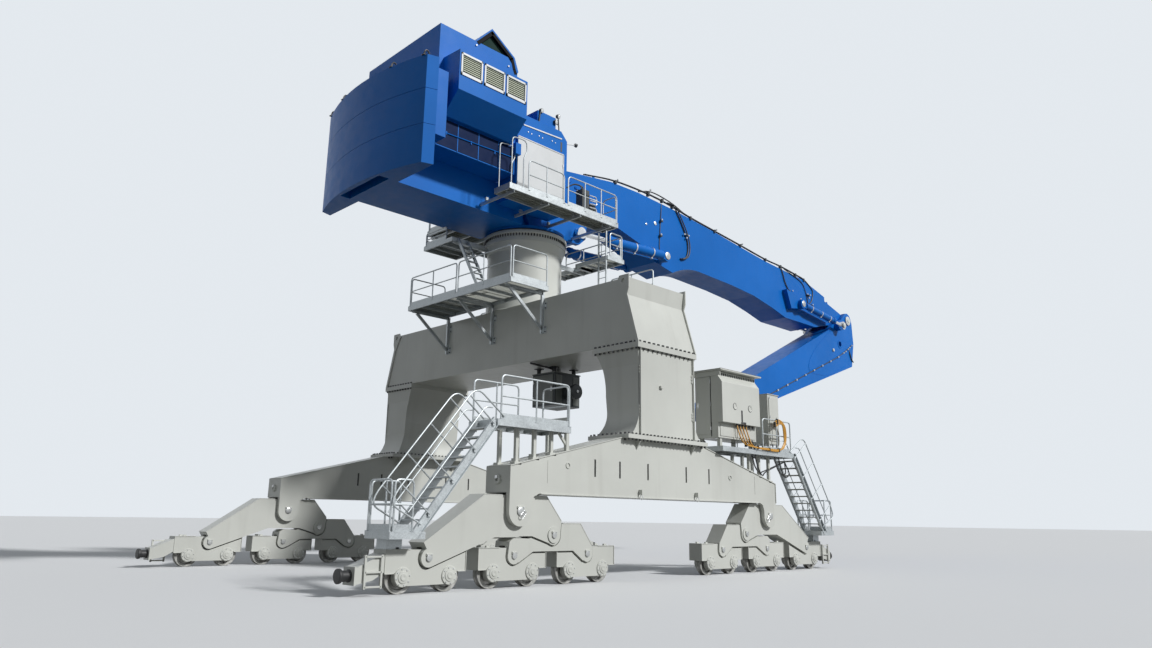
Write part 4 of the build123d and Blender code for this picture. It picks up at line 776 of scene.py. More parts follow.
@dataclass
class Running(Assembly):
    """Covers, pin keepers and edge plates of the bogies and balancers."""

    axle_z: float = 0.37
    axle_half: float = 0.627
    bogies: tuple[float, ...] = (8.23, 5.68, 3.11)
    cheek: float = 0.23
    cover: Rows = (
        (0.212, -0.01), (0.212, 0.018), (0.204, 0.027), (0.140, 0.029), (0.130, 0.046), (0.082, 0.052),
        (0.074, 0.064), (0.030, 0.068), (0.012, 0.060),
    )
    cover_bolts: int = 8
    bolt_circle: float = 0.172
    pins: Rows = (
        (8.23, 0.765, 0.08, 0.325), (4.395, 1.25, 0.08, 0.355), (5.68, 0.76, 0.08, 0.295),
        (3.11, 0.76, 0.08, 0.295), (5.675, 1.83, 0.11, 0.475),
    )
    edges: Rows = (
        (8.39, 1.10, 6.68, 2.222, 0.616), (6.68, 2.222, 6.15, 2.222, 0.616), (5.2, 2.222, 4.655, 2.222, 0.616),
        (4.655, 2.222, 4.12, 1.61, 0.616), (4.03, 1.543, 3.375, 1.543, 0.556), (3.375, 1.543, 2.925, 0.97, 0.556),
    )

    def covers(self) -> None:
        """Axle covers: a turned cap with a raised rim and boss, and its ring of bolts."""
        mesh = self.piece("axle_covers", Finish.WHITE)
        bolts = self.piece("axle_cover_bolts", Finish.BRIGHT, flat=True)
        u, v = X * self.bolt_circle, Z * self.bolt_circle
        for sx, sy in CORNERS:
            for x in self.bogies:
                for way, face in CORNERS:
                    end = np.array((sx * (x + way * self.axle_half), sy * RAIL_Y + face * self.cheek, self.axle_z))
                    mesh.lathe(end, Y * face, self.cover)
                    bolts.bolts(
                        arc(end + Y * face * 0.028, u, v, self.cover_bolts + 1, 0.2)[:-1], Y * face, 0.017, 0.018
                    )

    def pin_caps(self) -> None:
        """Domed pin ends with a bolted keeper plate beside each."""
        caps = self.piece("pin_caps", Finish.PIN)
        keepers = self.piece("pin_keepers", Finish.WHITE, bevel=0.004)
        bolts = self.piece("keeper_bolts", Finish.BRIGHT, flat=True)
        for sx, sy in CORNERS:
            for x, z, radius, reach in self.pins:
                rim, half, top = radius - 0.002, radius * 1.05, z + radius * 0.80
                for face in SIDES:
                    y = sy * RAIL_Y + face * reach
                    profile = ((rim, -0.02), (rim, 0.004), (radius * 0.86, 0.012), (radius * 0.3, 0.015))
                    caps.lathe((sx * x, y, z), Y * face, profile, 28)
                    keepers.block((sx * x, y - face * 0.010, top + 0.0075), half, 0.015, 0.0275)
                    spots = [(sx * x + s * half * 0.72, y + face * 0.005, top + 0.008) for s in SIDES]
                    bolts.bolts(spots, Y * face, 0.02 if radius > 0.1 else 0.014, 0.016)

    def edge_plates(self) -> None:
        """Top and end plates that stand a little proud of the web plates."""
        mesh = self.piece("balancer_edge_plates", Finish.WHITE, flat=True)
        for sx, sy in CORNERS:
            y = sy * RAIL_Y
            for x in self.bogies:
                for way in SIDES:
                    inner, low, end = (sx * (x + way * reach) for reach in (0.45, 0.86, 1.09))
                    mesh.beam((inner, y, 0.958), (end, y, 0.958), 0.49, 0.016)
                    mesh.beam((end, y, 0.95), (end, y, 0.46), 0.49, 0.016)
                    mesh.beam((low, y, 0.452), (end, y, 0.452), 0.49, 0.016)
            for xa, za, xb, zb, wide in self.edges:
                mesh.beam((sx * xa, y, za), (sx * xb, y, zb), wide, 0.016)

    def lifting_eyes(self) -> None:
        """Small eye plates on the main balancers and pale blocks on the bogies."""
        mesh = self.piece("bogie_lugs", Finish.WHITE, bevel=0.004)
        eye = ((0.045, -0.012), (0.085, -0.012), (0.085, 0.012), (0.045, 0.012))
        for sx, sy in CORNERS:
            for x in (5.05, 4.75):
                mesh.lathe((sx * x, sy * RAIL_Y, 2.27), Y, eye, 20, True)
            for x in self.bogies:
                for way, face in CORNERS:
                    mesh.block((sx * (x + way * 0.78), sy * RAIL_Y + face * 0.17, 0.985), 0.05, 0.03, 0.025)

    def build(self) -> None:
        """Build every running-gear piece."""
        self.covers()
        self.pin_caps()
        self.edge_plates()
        self.lifting_eyes()


@dataclass
class PortalSteel(Assembly):
    """Flange plates, bolts, slots and eyes of the side beams, columns and cross beam."""

    beam_half: float = 0.45
    slots: tuple[float, ...] = (-3.01, -2.0, -0.78, 1.03, 2.2)
    foot_z: float = 3.93
    foot_top: float = 4.05
    head_z: float = 6.65
    head_top: float = 6.81
    pocket_x: float = 1.402
    pocket_y: float = 6.836
    collar: Rows = (
        (1.385, 11.12), (1.400, 11.12), (1.500, 11.40), (1.505, 11.70), (1.560, 11.70), (1.565, 11.71),
        (1.565, 11.815), (1.560, 11.825), (1.455, 11.825), (1.455, 11.55), (1.385, 11.42),
    )

    def beam_plates(self) -> None:
        """Flange plates of the side beams, with a narrow overhang, and their end plates."""
        mesh = self.piece("side_beam_plates", Finish.WHITE, flat=True)
        wide = 2 * self.beam_half + 0.05
        for sy in SIDES:
            y = sy * RAIL_Y
            for sx in SIDES:
                mesh.beam((sx * 1.94, y, 3.938), (sx * 6.05, y, 2.938), wide, 0.022)
                mesh.beam((sx * 6.048, y, 2.93), (sx * 6.048, y, 2.28), wide, 0.02)
            mesh.beam((-5.0, y, 2.272), (5.0, y, 2.272), wide, 0.022)

    def beam_fittings(self) -> None:
        """Near-black plates in the slots as painted shade for the beams' dark insides, a round cover and small lifting
        eyes on the side beams.
        """
        dark = self.piece("slot_painted_shade", Finish.RING, flat=True)
        eyes = self.piece("beam_eyes", Finish.WHITE)
        shackles = self.piece("beam_shackles", Finish.BRIGHT)
        for sy in SIDES:
            for face in SIDES:
                for x in self.slots:
                    # Painted shade: a near-black plate set in each slot, standing for the dark inside of the beam.
                    dark.block((x, sy * RAIL_Y + face * (self.beam_half - 0.036), 3.02), 0.034, 0.002, 0.232)
            outer = sy * (RAIL_Y + self.beam_half)
            for x in (-4.05, 3.35):
                bush = ((0.055, -0.01), (0.055, 0.022), (0.082, 0.022), (0.086, 0.006), (0.086, -0.01))
                eyes.lathe((x, outer, 3.04), Y * sy, bush, 28, True)
            for x in (-4.78, 4.78):
                eyes.box((x - 0.006, outer - sy * 0.01, 2.55), (x + 0.006, outer + sy * 0.008, 3.14))
            for sx in SIDES:
                bush = ((0.05, -0.01), (0.05, 0.05), (0.10, 0.055), (0.125, 0.03), (0.125, -0.01))
                eyes.lathe((sx * 6.058, sy * RAIL_Y, 2.60), X * sx, bush, 28, True)
                shackles.box((sx * 6.06, sy * RAIL_Y - 0.045, 2.63), (sx * 6.13, sy * RAIL_Y + 0.045, 2.70))
                for n in range(3):
                    link = (sx * 5.56 - 0.05 * n, sy * (RAIL_Y + 0.478 + 0.012 * n), 1.80 - 0.045 * n)
                    shackles.tube(arc(link, X * 0.05, Z * 0.055, 13), 0.010, 6)
            for x in (-1.19, 1.45):
                eyes.box((x - 0.012, outer, 2.36), (x + 0.012, outer + sy * 0.13, 2.50))
                shackles.tube(arc((x, outer + sy * 0.10, 2.29), Z * 0.07, Y * sy * 0.05, 13), 0.011, 6)

    def flange_bolts(self) -> None:
        """Rows of bolt heads and nuts at both bolted flanges of each column, with near-black boxes between ribs as
        painted shade in their pockets.
        """
        mesh = self.piece("flange_bolts", Finish.BOLT, flat=True)
        low, high = self.head_top + 0.004, self.head_top + 0.058

        def row(start: Point, end: Point, z: float, face: int, number: int, *size: float) -> None:
            """One row of bolts between two places x, y, on the upper face at z or the lower one, with their size."""
            mesh.bolts(np.linspace((*start, z), (*end, z), number), Z * face, *size)

        for sy in SIDES:
            y = sy * 6.812
            for face, level, lines in ((1, self.foot_top, (y, sy * 5.31)), (-1, self.foot_z, (y,))):
                for line in lines:
                    row((-1.80, line), (1.80, line), level, face, 23, 0.031, 0.052)
                for x in (-1.81, 1.81):
                    row((x, sy * 5.45), (x, sy * 6.68), level, face, 8, 0.036, 0.060)
            row((-1.30, y), (1.30, y), self.head_z, -1, 13, 0.032, 0.055)
            # Painted shade: near-black boxes standing for the shaded pockets between the head flange's ribs.
            for x in np.linspace(-1.30, 1.30, 13):
                mesh.box((x - 0.036, sy * 6.770, low), (x + 0.036, sy * self.pocket_y, high))
            for sx in SIDES:
                x = sx * 1.385
                row((x, sy * 5.06), (x, sy * 6.74), self.head_z, -1, 10, 0.030, 0.055)
                # Painted shade in the pockets between the ribs on the column's ends.
                for middle in sy * np.linspace(5.06, 6.70, 10):
                    mesh.box((sx * 1.360, middle - 0.040, low), (sx * self.pocket_x, middle + 0.040, high))

    def column_plates(self) -> None:
        """Edge plates of the columns and scalloped handling lugs on them."""
        mesh = self.piece("column_edges", Finish.WHITE)
        for sy in SIDES:
            for sx in SIDES:
                mesh.beam((sx * 1.278, sy * 6.79, 4.05), (sx * 1.278, sy * 6.79, 6.65), 0.024, 0.09, X)
                for z in (4.71, 4.80, 4.89, 5.91, 6.0, 6.09):
                    lug = ((0.055, -0.004), (0.055, 0.024), (0.02, 0.026))
                    mesh.lathe((sx * 1.26, sy * 6.774, z), Y * sy, lug, 12)
            mesh.box((-0.36, sy * 6.77, 5.52), (-0.24, sy * 6.84, 5.60))

    def pedestal(self) -> None:
        """The pale collar round the slewing ring with its hanging bolts, the cone below it and a foot bead."""
        bolts = self.piece("pedestal_bolts", Finish.BOLT, flat=True)
        steel = self.piece("pedestal_collar", Finish.WHITE)
        bolts.bolts(arc((0, 0, 11.702), X * 1.518, Y * 1.518, 89)[:-1], -Z, 0.026, 0.095)
        steel.lathe((0, 0, 0), Z, self.collar, 120, True)
        steel.lathe((0, 0, 8.89), Z, ((1.36, 0.0), (1.44, 0.0), (1.43, 0.03), (1.40, 0.05), (1.36, 0.06)), 96)

    def build(self) -> None:
        """Build every piece of the portal's steel."""
        self.beam_plates()
        self.beam_fittings()
        self.flange_bolts()
        self.column_plates()
        self.pedestal()


@dataclass
class Guard:
    """Guard rails of round tube with rounded ends, and their toe boards."""

    rails: Mesh
    boards: Mesh
    height: float = 1.10
    corner: float = 0.13
    tube: float = 0.024
    post: float = 0.021

    def add(self, level: float, sections: Rows, toe: bool = True) -> None:
        """Add sections on one level: a loop from post to post, a knee rail, inner posts and a toe board.

        Args:
            level: the height of their feet.
            sections: rows of x and y of the first end, x and y of the last, and the number of posts.
            toe: whether they have toe boards.
        """
        lift = Z * self.height
        for xa, ya, xb, yb, posts in sections:
            feet = np.linspace((xa, ya, level), (xb, yb, level), posts)
            a, b = feet[0], feet[-1]
            self.rails.tube(rounded((a, a + lift, b + lift, b), self.corner), self.tube)
            self.rails.tube((a + lift * 0.52, b + lift * 0.52), self.tube * 0.85)
            for foot in feet[1:-1]:
                self.rails.tube((foot, foot + lift), self.post)
            for foot in feet:
                self.rails.box(foot - (0.045, 0.045, 0.0), foot + (0.045, 0.045, 0.012))
            if toe:
                self.boards.beam(a + Z * 0.075, b + Z * 0.075, 0.008, 0.15, np.cross(b - a, Z))


@dataclass
class BeamWalkway(Assembly):
    """The walkway on the rear face of the cross beam, with the platforms by the pedestal."""

    x0: float = -3.10
    x1: float = -1.45
    half_y: float = 2.93
    deck: float = 9.237
    face: float = -1.37
    ladder: tuple[float, ...] = (-2.62, -0.92, 9.24, 0.41, 11.37)
    floors: Rows = (
        (-3.05, -1.56, 0.45, 2.20, 11.41), (1.26, 2.15, -3.10, -1.45, 10.96), (1.56, 2.15, -1.45, 0.0, 10.96),
    )
    bearers: Rows = (
        (-3.0, -1.28, 0.49, 11.295), (-3.0, -0.96, 1.0, 11.295), (1.36, 2.1, -0.08, 10.845),
        (0.83, 2.1, -1.11, 10.845),
    )

    def deck_panels(self) -> None:
        """Grating panels with a gap between them, in a rim of channels over cross members."""
        panel = self.piece("beam_walkway_grating", Finish.ZINC_DARK, flat=True)
        steel = self.piece("beam_walkway_frame", Finish.ZINC, flat=True, stands_for="beam_walkway")
        for y0, y1 in ((-2.88, -0.97), (-0.95, 0.95), (0.97, 2.88)):
            panel.grating(self.x0 + 0.04, self.x1 - 0.03, y0, y1, self.deck)
        z = self.deck - 0.08
        steel.rim(self.x0, self.x1, -self.half_y, self.half_y, z, 0.16, 0.05)
        for y in np.linspace(-self.half_y, self.half_y, 9)[1:-1]:
            steel.channel((self.x0, y, z - 0.01), (self.x1, y, z - 0.01), 0.09, 0.04, Y)

    def supports(self) -> None:
        """Triangular brackets bolted to the beam."""
        steel = self.piece("beam_walkway_brackets", Finish.ZINC, flat=True)
        bolts = self.piece("beam_walkway_bolts", Finish.BOLT, flat=True)
        upright, low = self.face - 0.06, self.deck - 0.20
        for y in (-2.65, 0.0, 2.65):
            steel.channel((upright, y, 7.67), (upright, y, low + 0.04), 0.12, 0.07, Y)
            steel.channel((self.x0 + 0.03, y, low), (upright, y, low), 0.09, 0.06, Y)
            steel.channel((self.x0 + 0.22, y, low - 0.04), (upright - 0.02, y, 7.82), 0.10, 0.06, Y)
            for z in (7.80, 8.62):
                steel.box((self.face - 0.022, y - 0.13, z - 0.12), (self.face, y + 0.16, z + 0.12))
                spots = [(self.face - 0.022, y + dy, z + dz) for dy in (-0.09, 0.12) for dz in (-0.08, 0.08)]
                bolts.bolts(spots, -X, 0.022, 0.03)

    def platforms(self) -> None:
        """The platform behind the pedestal, the one before it, and both ladders."""
        panel = self.piece("pedestal_gratings", Finish.ZINC_DARK, flat=True)
        steel = self.piece("pedestal_platforms", Finish.ZINC, flat=True, stands_for="pedestal_access")
        x, ya, za, yb, zb = self.ladder
        for side in (-0.22, 0.22):
            steel.channel((x + side, ya, za), (x + side, yb, zb), 0.11, 0.04, (-side, 0, 0))
        for tread in np.linspace((x, ya, za), (x, yb, zb), 10)[1:-1]:
            steel.block(tread, 0.22, 0.07, 0.012)
        for x0, x1, y0, y1, level in self.floors:
            panel.grating(x0 + 0.02, x1 - 0.02, y0 + 0.02, y1 - 0.02, level)
            steel.rim(x0, x1, y0, y1, level - 0.075, 0.15, 0.05)
            for y in np.linspace(y0, y1, 5)[1:-1]:
                steel.channel((x0, y, level - 0.085), (x1, y, level - 0.085), 0.07, 0.03, Y)
        for x0, x1, y, level in self.bearers:
            steel.channel((x0, y, level), (x1, y, level), 0.15, 0.07, Y)
        for y, way in ((-3.05, Y), (-2.65, -Y)):
            steel.channel((1.25, y, 8.89), (1.25, y, 11.90), 0.06, 0.03, way, 0.008)
        for z in 8.89 + 0.25 * np.arange(1, 12):
            steel.tube(((1.25, -3.05, z), (1.25, -2.65, z)), 0.014)

    def build(self) -> None:
        """Build the walkway, its brackets and the platforms."""
        self.deck_panels()
        self.supports()
        self.platforms()


@dataclass
class Stairs(Assembly):
    """The two stairs with their platforms and legs, and every guard rail of the portal."""

    width: float = 0.70
    y: float = -6.50
    outer_y: float = -6.90
    low: float = 1.35
    mid: float = 4.02
    treads: int = 11

    def flight(self, steel: Mesh, panel: Mesh, rails: Mesh, sx: int, top_x: float) -> None:
        """One flight: channel stringers, grating treads and two braced handrails."""
        a, b = np.array((sx * 8.85, self.y, self.low)), np.array((sx * top_x, self.y, self.mid))
        way = unit(b - a)
        lean = np.array((-way[2], 0.0, way[0])) * (1 if way[0] > 0 else -1)
        top, mid = lean * 0.98, lean * 0.46
        for side in SIDES:
            shift = Y * side * self.width / 2
            steel.channel(a + shift - way * 0.1, b + shift - way * 0.05, 0.22, 0.07, Y * side, 0.012)
            shift = shift + Y * side * 0.045
            foot, head = a + shift + way * 0.25, b + shift - way * 0.05
            rails.tube(rounded((
                foot - Z * 0.1 + mid * 0.2, foot + top * 0.9 - way * 0.25, foot + top, head + top,
                head + top + (-sx * 0.22, 0, 0.05), head + (-sx * 0.24, 0, 0.10),
            ), 0.16), 0.021)
            rails.tube(rounded((foot + mid - way * 0.1, head + mid, head + mid - X * sx * 0.22), 0.1), 0.018)
            for t in (0.14, 0.42, 0.70, 0.95):
                post = a + shift + (b - a) * t
                rails.tube((post, post + top), 0.019)
                rails.block(post, 0.04, 0.006, 0.05)
        half = self.width / 2 - 0.02
        for number in range(1, self.treads):
            x, y, z = a + (b - a) * (number / self.treads) + Z * 0.02
            x0, x1, nose = x - 0.13, x + 0.13, x + sx * 0.13
            panel.grating(x0, x1, y - half, y + half, z, 0.045, 0.03)
            steel.box((nose - 0.012, y - half, z - 0.035), (nose + 0.012, y + half, z + 0.003))
            for end in (y - half, y + half):
                steel.box((x0, end - 0.004, z - 0.07), (x1, end + 0.004, z))

    def platform(self, steel: Mesh, panel: Mesh, xa: float, xb: float, y1: float, level: float) -> None:
        """One platform from the outer side to y1: grating in a deep rim with cross members."""
        x0, x1, y0, z = min(xa, xb), max(xa, xb), self.outer_y, level - 0.08
        panel.grating(x0 + 0.03, x1 - 0.03, y0 + 0.03, y1 - 0.03, level)
        steel.rim(x0, x1, y0, y1, z, 0.16, 0.055)
        for x in np.linspace(x0, x1, max(3, int((x1 - x0) / 0.5)))[1:-1]:
            steel.channel((x, y0, z - 0.01), (x, y1, z - 0.01), 0.09, 0.04, X)

    def beam_top(self, x: float) -> float:
        """Height of the side beam's sloping top at a distance x from the middle."""
        return 3.93 - (x - 1.94) / 4.10

    def legs(self, steel: Mesh, sx: int) -> None:
        """Legs from the side beam's slope up to the middle platform, with foot plates and a brace."""
        head = self.mid - 0.14
        for x in (4.60, 5.20, 5.80):
            foot = self.beam_top(x)
            for y in (-6.56, -5.90):
                steel.beam((sx * x, y, foot - 0.02), (sx * x, y, head), 0.09, 0.09)
                steel.box((sx * x - 0.11, y - 0.09, foot - 0.02), (sx * x + 0.11, y + 0.09, foot + 0.05))
        if sx < 0:
            steel.beam((-4.05, -6.58, self.beam_top(4.1) + 0.15), (-4.35, -6.58, head), 0.06, 0.06)

    def build(self) -> None:
        """Build both sides, then the rails of the beam, its walkway and the pedestal's platforms."""
        panel = self.piece("stair_gratings", Finish.ZINC_DARK, flat=True)
        steel = self.piece("stair_steel", Finish.ZINC, flat=True, stands_for="stairs")
        rails = self.piece("portal_guard_rails", Finish.ZINC, stands_for="portal_rails")
        boards = self.piece("portal_toe_boards", Finish.ZINC, flat=True)
        legs = self.piece("platform_legs", Finish.WHITE, flat=True)
        guard = Guard(rails, boards)
        for sx, top_x, deck_in, first in ((-1, 6.70, 4.20, 4.25), (1, 6.95, 2.65, 5.05)):
            self.flight(steel, panel, rails, sx, top_x)
            self.platform(steel, panel, sx * 8.64, sx * 9.55, -5.90, self.low)
            self.platform(steel, panel, sx * deck_in, sx * top_x, -5.75, self.mid)
            self.legs(legs, sx)
            steel.box((sx * 8.9, -6.40, 0.95), (sx * 9.3, -6.0, 1.20))
            guard.add(self.low, (
                (sx * 9.52, -6.84, sx * 9.52, -5.96, 2), (sx * 8.98, -6.87, sx * 9.46, -6.87, 2),
                (sx * 8.70, -5.93, sx * 9.46, -5.93, 3),
            ))
            guard.add(self.mid, (
                (sx * (top_x - 0.12), -6.87, sx * first, -6.87, 3), (sx * (top_x - 0.1), -5.79, sx * 5.1, -5.79, 3),
            ))
        guard.add(self.mid, ((-4.23, -6.80, -4.23, -5.82, 2),))
        guard.add(BeamWalkway.deck, (
            (-3.07, 2.86, -3.07, 0.06, 3), (-3.07, -0.06, -3.07, -2.86, 3), (-3.0, -2.90, -1.51, -2.90, 2),
            (-3.0, 2.90, -1.51, 2.90, 2),
        ))
        guard.add(8.89, ((1.28, -3.25, 1.28, -5.2, 3), (1.28, 1.75, 1.28, 4.2, 3)), toe=False)
        Guard(rails, boards, 0.90).add(10.96, ((2.12, -0.06, 2.12, -2.95, 4), (2.06, -3.07, 1.42, -3.07, 2)))
        Guard(rails, boards, 0.48, 0.08).add(11.41, ((-3.02, 0.85, -3.02, 2.10, 2), (-2.95, 2.17, -1.66, 2.17, 2)))


@dataclass
class BufferSteps(Assembly):
    """The small white step frames beside the buffer brackets, and the buffers' rubber faces."""

    x: float = 9.62
    buffer: Rows = (
        (0.10, 0.0), (0.135, 0.0), (0.135, 0.02), (0.115, 0.03), (0.118, 0.19), (0.15, 0.21), (0.158, 0.24),
        (0.158, 0.275), (0.14, 0.29), (0.02, 0.292),
    )

    def build(self) -> None:
        """Build the step frames and the rubber faces."""
        steps = self.piece("buffer_steps", Finish.WHITE, bevel=0.004)
        rubber = self.piece("buffer_rubbers", Finish.RUBBER, stands_for="buffers")
        for sx, sy in CORNERS:
            y = sy * (RAIL_Y + 0.26)
            ends = (sx * (self.x - 0.2), sx * (self.x + 0.2))
            for x in ends:
                steps.beam((x, y, 0.16), (x, y, 0.86), 0.05, 0.05)
                steps.beam((x, y, 0.62), (x, sy * (RAIL_Y + 0.2), 0.62), 0.05, 0.04, X)
            for z in (0.20, 0.50, 0.82):
                steps.beam((ends[0], y, z), (ends[1], y, z), 0.05, 0.04)
            rubber.lathe((sx * 10.04, sy * RAIL_Y, 0.43), X * sx, self.buffer, 36)


@dataclass
class Cabinets(Assembly):
    """Shells, doors, hinges, roof edges and cables of the electric cabinets."""

    deck: float = 4.02
    cover: Rows = ((-6.45, 4.80), (-6.45, 6.48), (-6.74, 6.48), (-6.74, 6.34), (-6.90, 6.12), (-6.90, 4.80))
    drum: Rows = (
        (0.15, -0.02), (0.225, 0.0), (0.225, 0.40), (0.26, 0.41), (0.265, 0.47), (0.25, 0.495), (0.06, 0.50),
        (0.05, 0.52), (0.01, 0.52),
    )

    def shells(self) -> None:
        """Bodies of both cabinets: the wide one has a deep cover that slopes back under its roof."""
        mesh = self.piece("cabinet_shells", Finish.CABINET, flat=True, bevel=0.008, stands_for="power_cabinets")
        mesh.boxes((
            (2.70, -6.70, 4.30, 4.90, -5.80, 6.48), (2.62, -6.90, 6.50, 4.98, -5.72, 6.535),
            (2.66, -6.85, 6.335, 2.70, -5.76, 6.50), (5.70, -6.70, 4.30, 6.40, -6.00, 6.05),
            (5.68, -6.73, 6.05, 6.42, -5.97, 6.075),
        ))
        mesh.plate(self.cover, (2.690, 0, 0), Y, Z, 2.19)
        for xs, ys, half in (((2.90, 4.70), (-6.60, -5.90), 0.06), ((5.76, 6.34), (-6.64, -6.06), 0.04)):
            for x in xs:
                for y in ys:
                    mesh.box((x - half, y - half, self.deck), (x + half, y + half, 4.30))

    def power(self) -> None:
        """Doors, vents with near-black rings of painted shadow round them, hinges and a cable slot of the two white
        cabinets.
        """
        doors = self.piece("cabinet_doors", Finish.CABINET, bevel=0.006)
        metal = self.piece("cabinet_metal", Finish.BRIGHT)
        dark = self.piece("cabinet_slots", Finish.RING, flat=True)
        doors.boxes((
            (2.675, -6.42, 4.42, 2.70, -5.86, 6.30), (5.76, -6.73, 4.42, 6.34, -6.70, 5.94),
            (2.80, -6.72, 4.36, 3.55, -6.70, 4.76), (3.65, -6.72, 4.36, 4.80, -6.70, 4.76),
            (2.60, -6.93, 6.50, 5.0, -6.89, 6.555), (2.60, -6.93, 6.535, 5.0, -5.70, 6.555),
        ))
        for x in (3.40, 4.28):
            vent = ((0.100, -0.01), (0.100, 0.014), (0.080, 0.016), (0.070, 0.003), (0.01, 0.003))
            doors.lathe((x, -6.90, 5.36), -Y, vent, 28)
            ring = ((0.116, -0.01), (0.116, 0.004), (0.099, 0.004), (0.099, -0.01))
            # Painted shadow: a near-black ring round the vent's raised edge.
            dark.lathe((x, -6.90, 5.36), -Y, ring, 28, True)
        dark.boxes((
            (3.75, -6.906, 4.88, 3.83, -6.896, 5.26), (3.74, -6.93, 4.80, 3.98, -6.898, 4.87),
            (2.690, -6.452, 4.34, 2.702, -6.425, 6.33), (4.868, -6.88, 5.78, 4.925, -6.72, 6.02),
        ))
        for x in np.arange(2.80, 4.82, 0.105):
            dark.beam((x, -6.744, 6.352), (x + 0.03, -6.744, 6.432), 0.045, 0.012, X)
        for z in (4.6, 5.4, 6.15):
            metal.hinge((2.668, -6.43, z), radius=0.016)
            metal.hinge((5.80, -6.74, z * 0.92 + 0.29), 0.04)
        metal.boxes((
            (2.655, -5.96, 5.30, 2.675, -5.92, 5.48), (2.81, -6.62, 4.26, 2.99, -6.50, 4.30),
            (4.61, -6.62, 4.26, 4.79, -6.50, 4.30), (6.18, -6.76, 5.14, 6.21, -6.73, 5.26),
        ))
        for x in (2.98, 4.6):
            metal.tube([(x + dx, -6.4, z) for dx, z in ((0, 6.55), (0, 6.63), (0.08, 6.63), (0.08, 6.55))], 0.012)

    def cables(self) -> None:
        """Orange supply cables and black leads, tied to the cabinet, the deck and the rail all the way."""
        orange = self.piece("supply_cables", Finish.ORANGE)
        black = self.piece("control_leads", Finish.RUBBER)
        ties = self.piece("cable_ties", Finish.RUBBER)
        for number in range(4):
            x, s = 3.62 + number * 0.17, number * 0.045
            orange.tube(eased((
                (x, -6.80, 4.82), (x, -6.83, 4.66), (x + 0.02, -6.90, 4.40), (x + 0.12, -6.955, 4.20 - s * 0.4),
                (x + 0.45, -6.965, 4.10 - s * 0.3), (5.2, -6.96, 4.085 - s * 0.3), (5.9, -6.96, 4.09 - s * 0.3),
                (6.25, -6.955, 4.20 + s), (6.42 - s, -6.95, 4.55), (6.36 - s, -6.95, 4.95), (6.05, -6.94, 5.14 - s),
                (5.78 + s * 0.6, -6.93, 5.06 - s), (5.72 + s, -6.93, 4.90),
            ), 6), 0.021)
        for x0, x1, z, top, dip in (
            (4.35, 4.55, 4.1, 4.80, 3.3), (4.55, 4.72, 4.1, 4.80, 3.2), (5.85, 5.95, 4.0, 4.30, 3.3),
            (6.05, 6.2, 4.0, 4.30, 3.2),
        ):
            black.tube(eased((
                (x0, -6.62, top), (x0, -6.66, top - 0.2), (x1, -6.72, z), (x1 + 0.1, -6.70, 3.75),
                (x1 + 0.3, -6.66, 3.45), (x1 + 0.6, -6.62, dip), (x1 + 0.9, -6.60, 3.35), (6.9, -6.55, 3.75),
            ), 6), 0.022)
        for x, z in ((3.9, 4.13), (4.6, 4.09), (5.3, 4.07), (5.9, 4.08)):
            ties.box((x - 0.02, -6.99, z - 0.07), (x + 0.02, -6.90, z + 0.06))
        for x, z in ((5.74, 4.98), (5.9, 5.1)):
            ties.box((x - 0.03, -6.97, z - 0.11), (x + 0.03, -6.90, z + 0.07))
        for x in (3.62, 3.79, 3.96, 4.13, 4.35, 4.55):
            ties.lathe((x, -6.80, 4.80), -Z, ((0.034, -0.03), (0.034, 0.05), (0.026, 0.06), (0.021, 0.10)), 12)

    def hanging(self) -> None:
        """The dark cabinet under the cross beam, with its drum, hangers and doors."""
        drum = self.piece("cabinet_drum", Finish.CABINET_DARK)
        doors = self.piece("hanging_cabinet_doors", Finish.CABINET_GREY, bevel=0.005)
        pipes = self.piece("hanging_cabinet_pipes", Finish.RUBBER)
        metal = self.piece("hanging_cabinet_metal", Finish.BRIGHT)
        drum.lathe((0.325, -2.07, 5.93), -Y, self.drum, 40)
        doors.boxes((
            (-0.305, -2.0, 5.52, -0.28, -1.02, 6.53), (-0.22, -2.085, 5.52, 0.06, -2.07, 6.52),
            (0.60, -2.085, 5.52, 0.88, -2.07, 6.52), (-0.31, -2.10, 6.585, 0.96, -0.92, 6.615),
        ))
        for x, y in ((-0.15, -1.9), (0.8, -1.9), (-0.15, -1.12), (0.8, -1.12)):
            pipes.tube(((x, y, 6.60), (x, y, 6.81)), 0.06, 12)
            pipes.block((x, y, 6.80), 0.12, 0.12, 0.01)
        pipes.tube(eased((
            (0.3, -1.5, 6.6), (0.3, -1.5, 6.68), (0.2, -1.6, 6.74), (-0.3, -1.8, 6.76), (-1.0, -1.9, 6.765),
            (-1.3, -1.95, 6.77),
        )), 0.035)
        for z in (5.75, 6.3):
            metal.hinge((-0.312, -1.02, z), 0.05)
        metal.box((-0.325, -1.96, 5.94), (-0.305, -1.92, 6.10))
        metal.lathe((0.325, -2.57, 5.93), -Y, ((0.05, -0.03), (0.05, 0.02), (0.02, 0.03)), 12)

    def build(self) -> None:
        """Build all cabinets and cables."""
        self.shells()
        self.power()
        self.cables()
        self.hanging()


def work_lamp(dark: Mesh, lens: Mesh, place: Point, aim: Point, size: float) -> None:
    """Add a round work lamp: a turned housing with cooling ribs and a slightly domed lens."""
    housing = (
        (0.25, -1.5), (0.75, -1.35), (0.78, -1.1), (0.9, -1.05), (0.9, -0.9), (0.8, -0.85), (0.84, -0.6),
        (0.98, -0.5), (1.0, -0.1), (1.0, 0.0), (0.9, 0.0),
    )
    dark.lathe(place, aim, size * np.array(housing), 24)
    edge = size * 0.9
    lens.lathe(place, aim, ((edge, -0.004), (edge, 0.0), (size * 0.55, size * 0.12), (size * 0.1, size * 0.16)), 24)


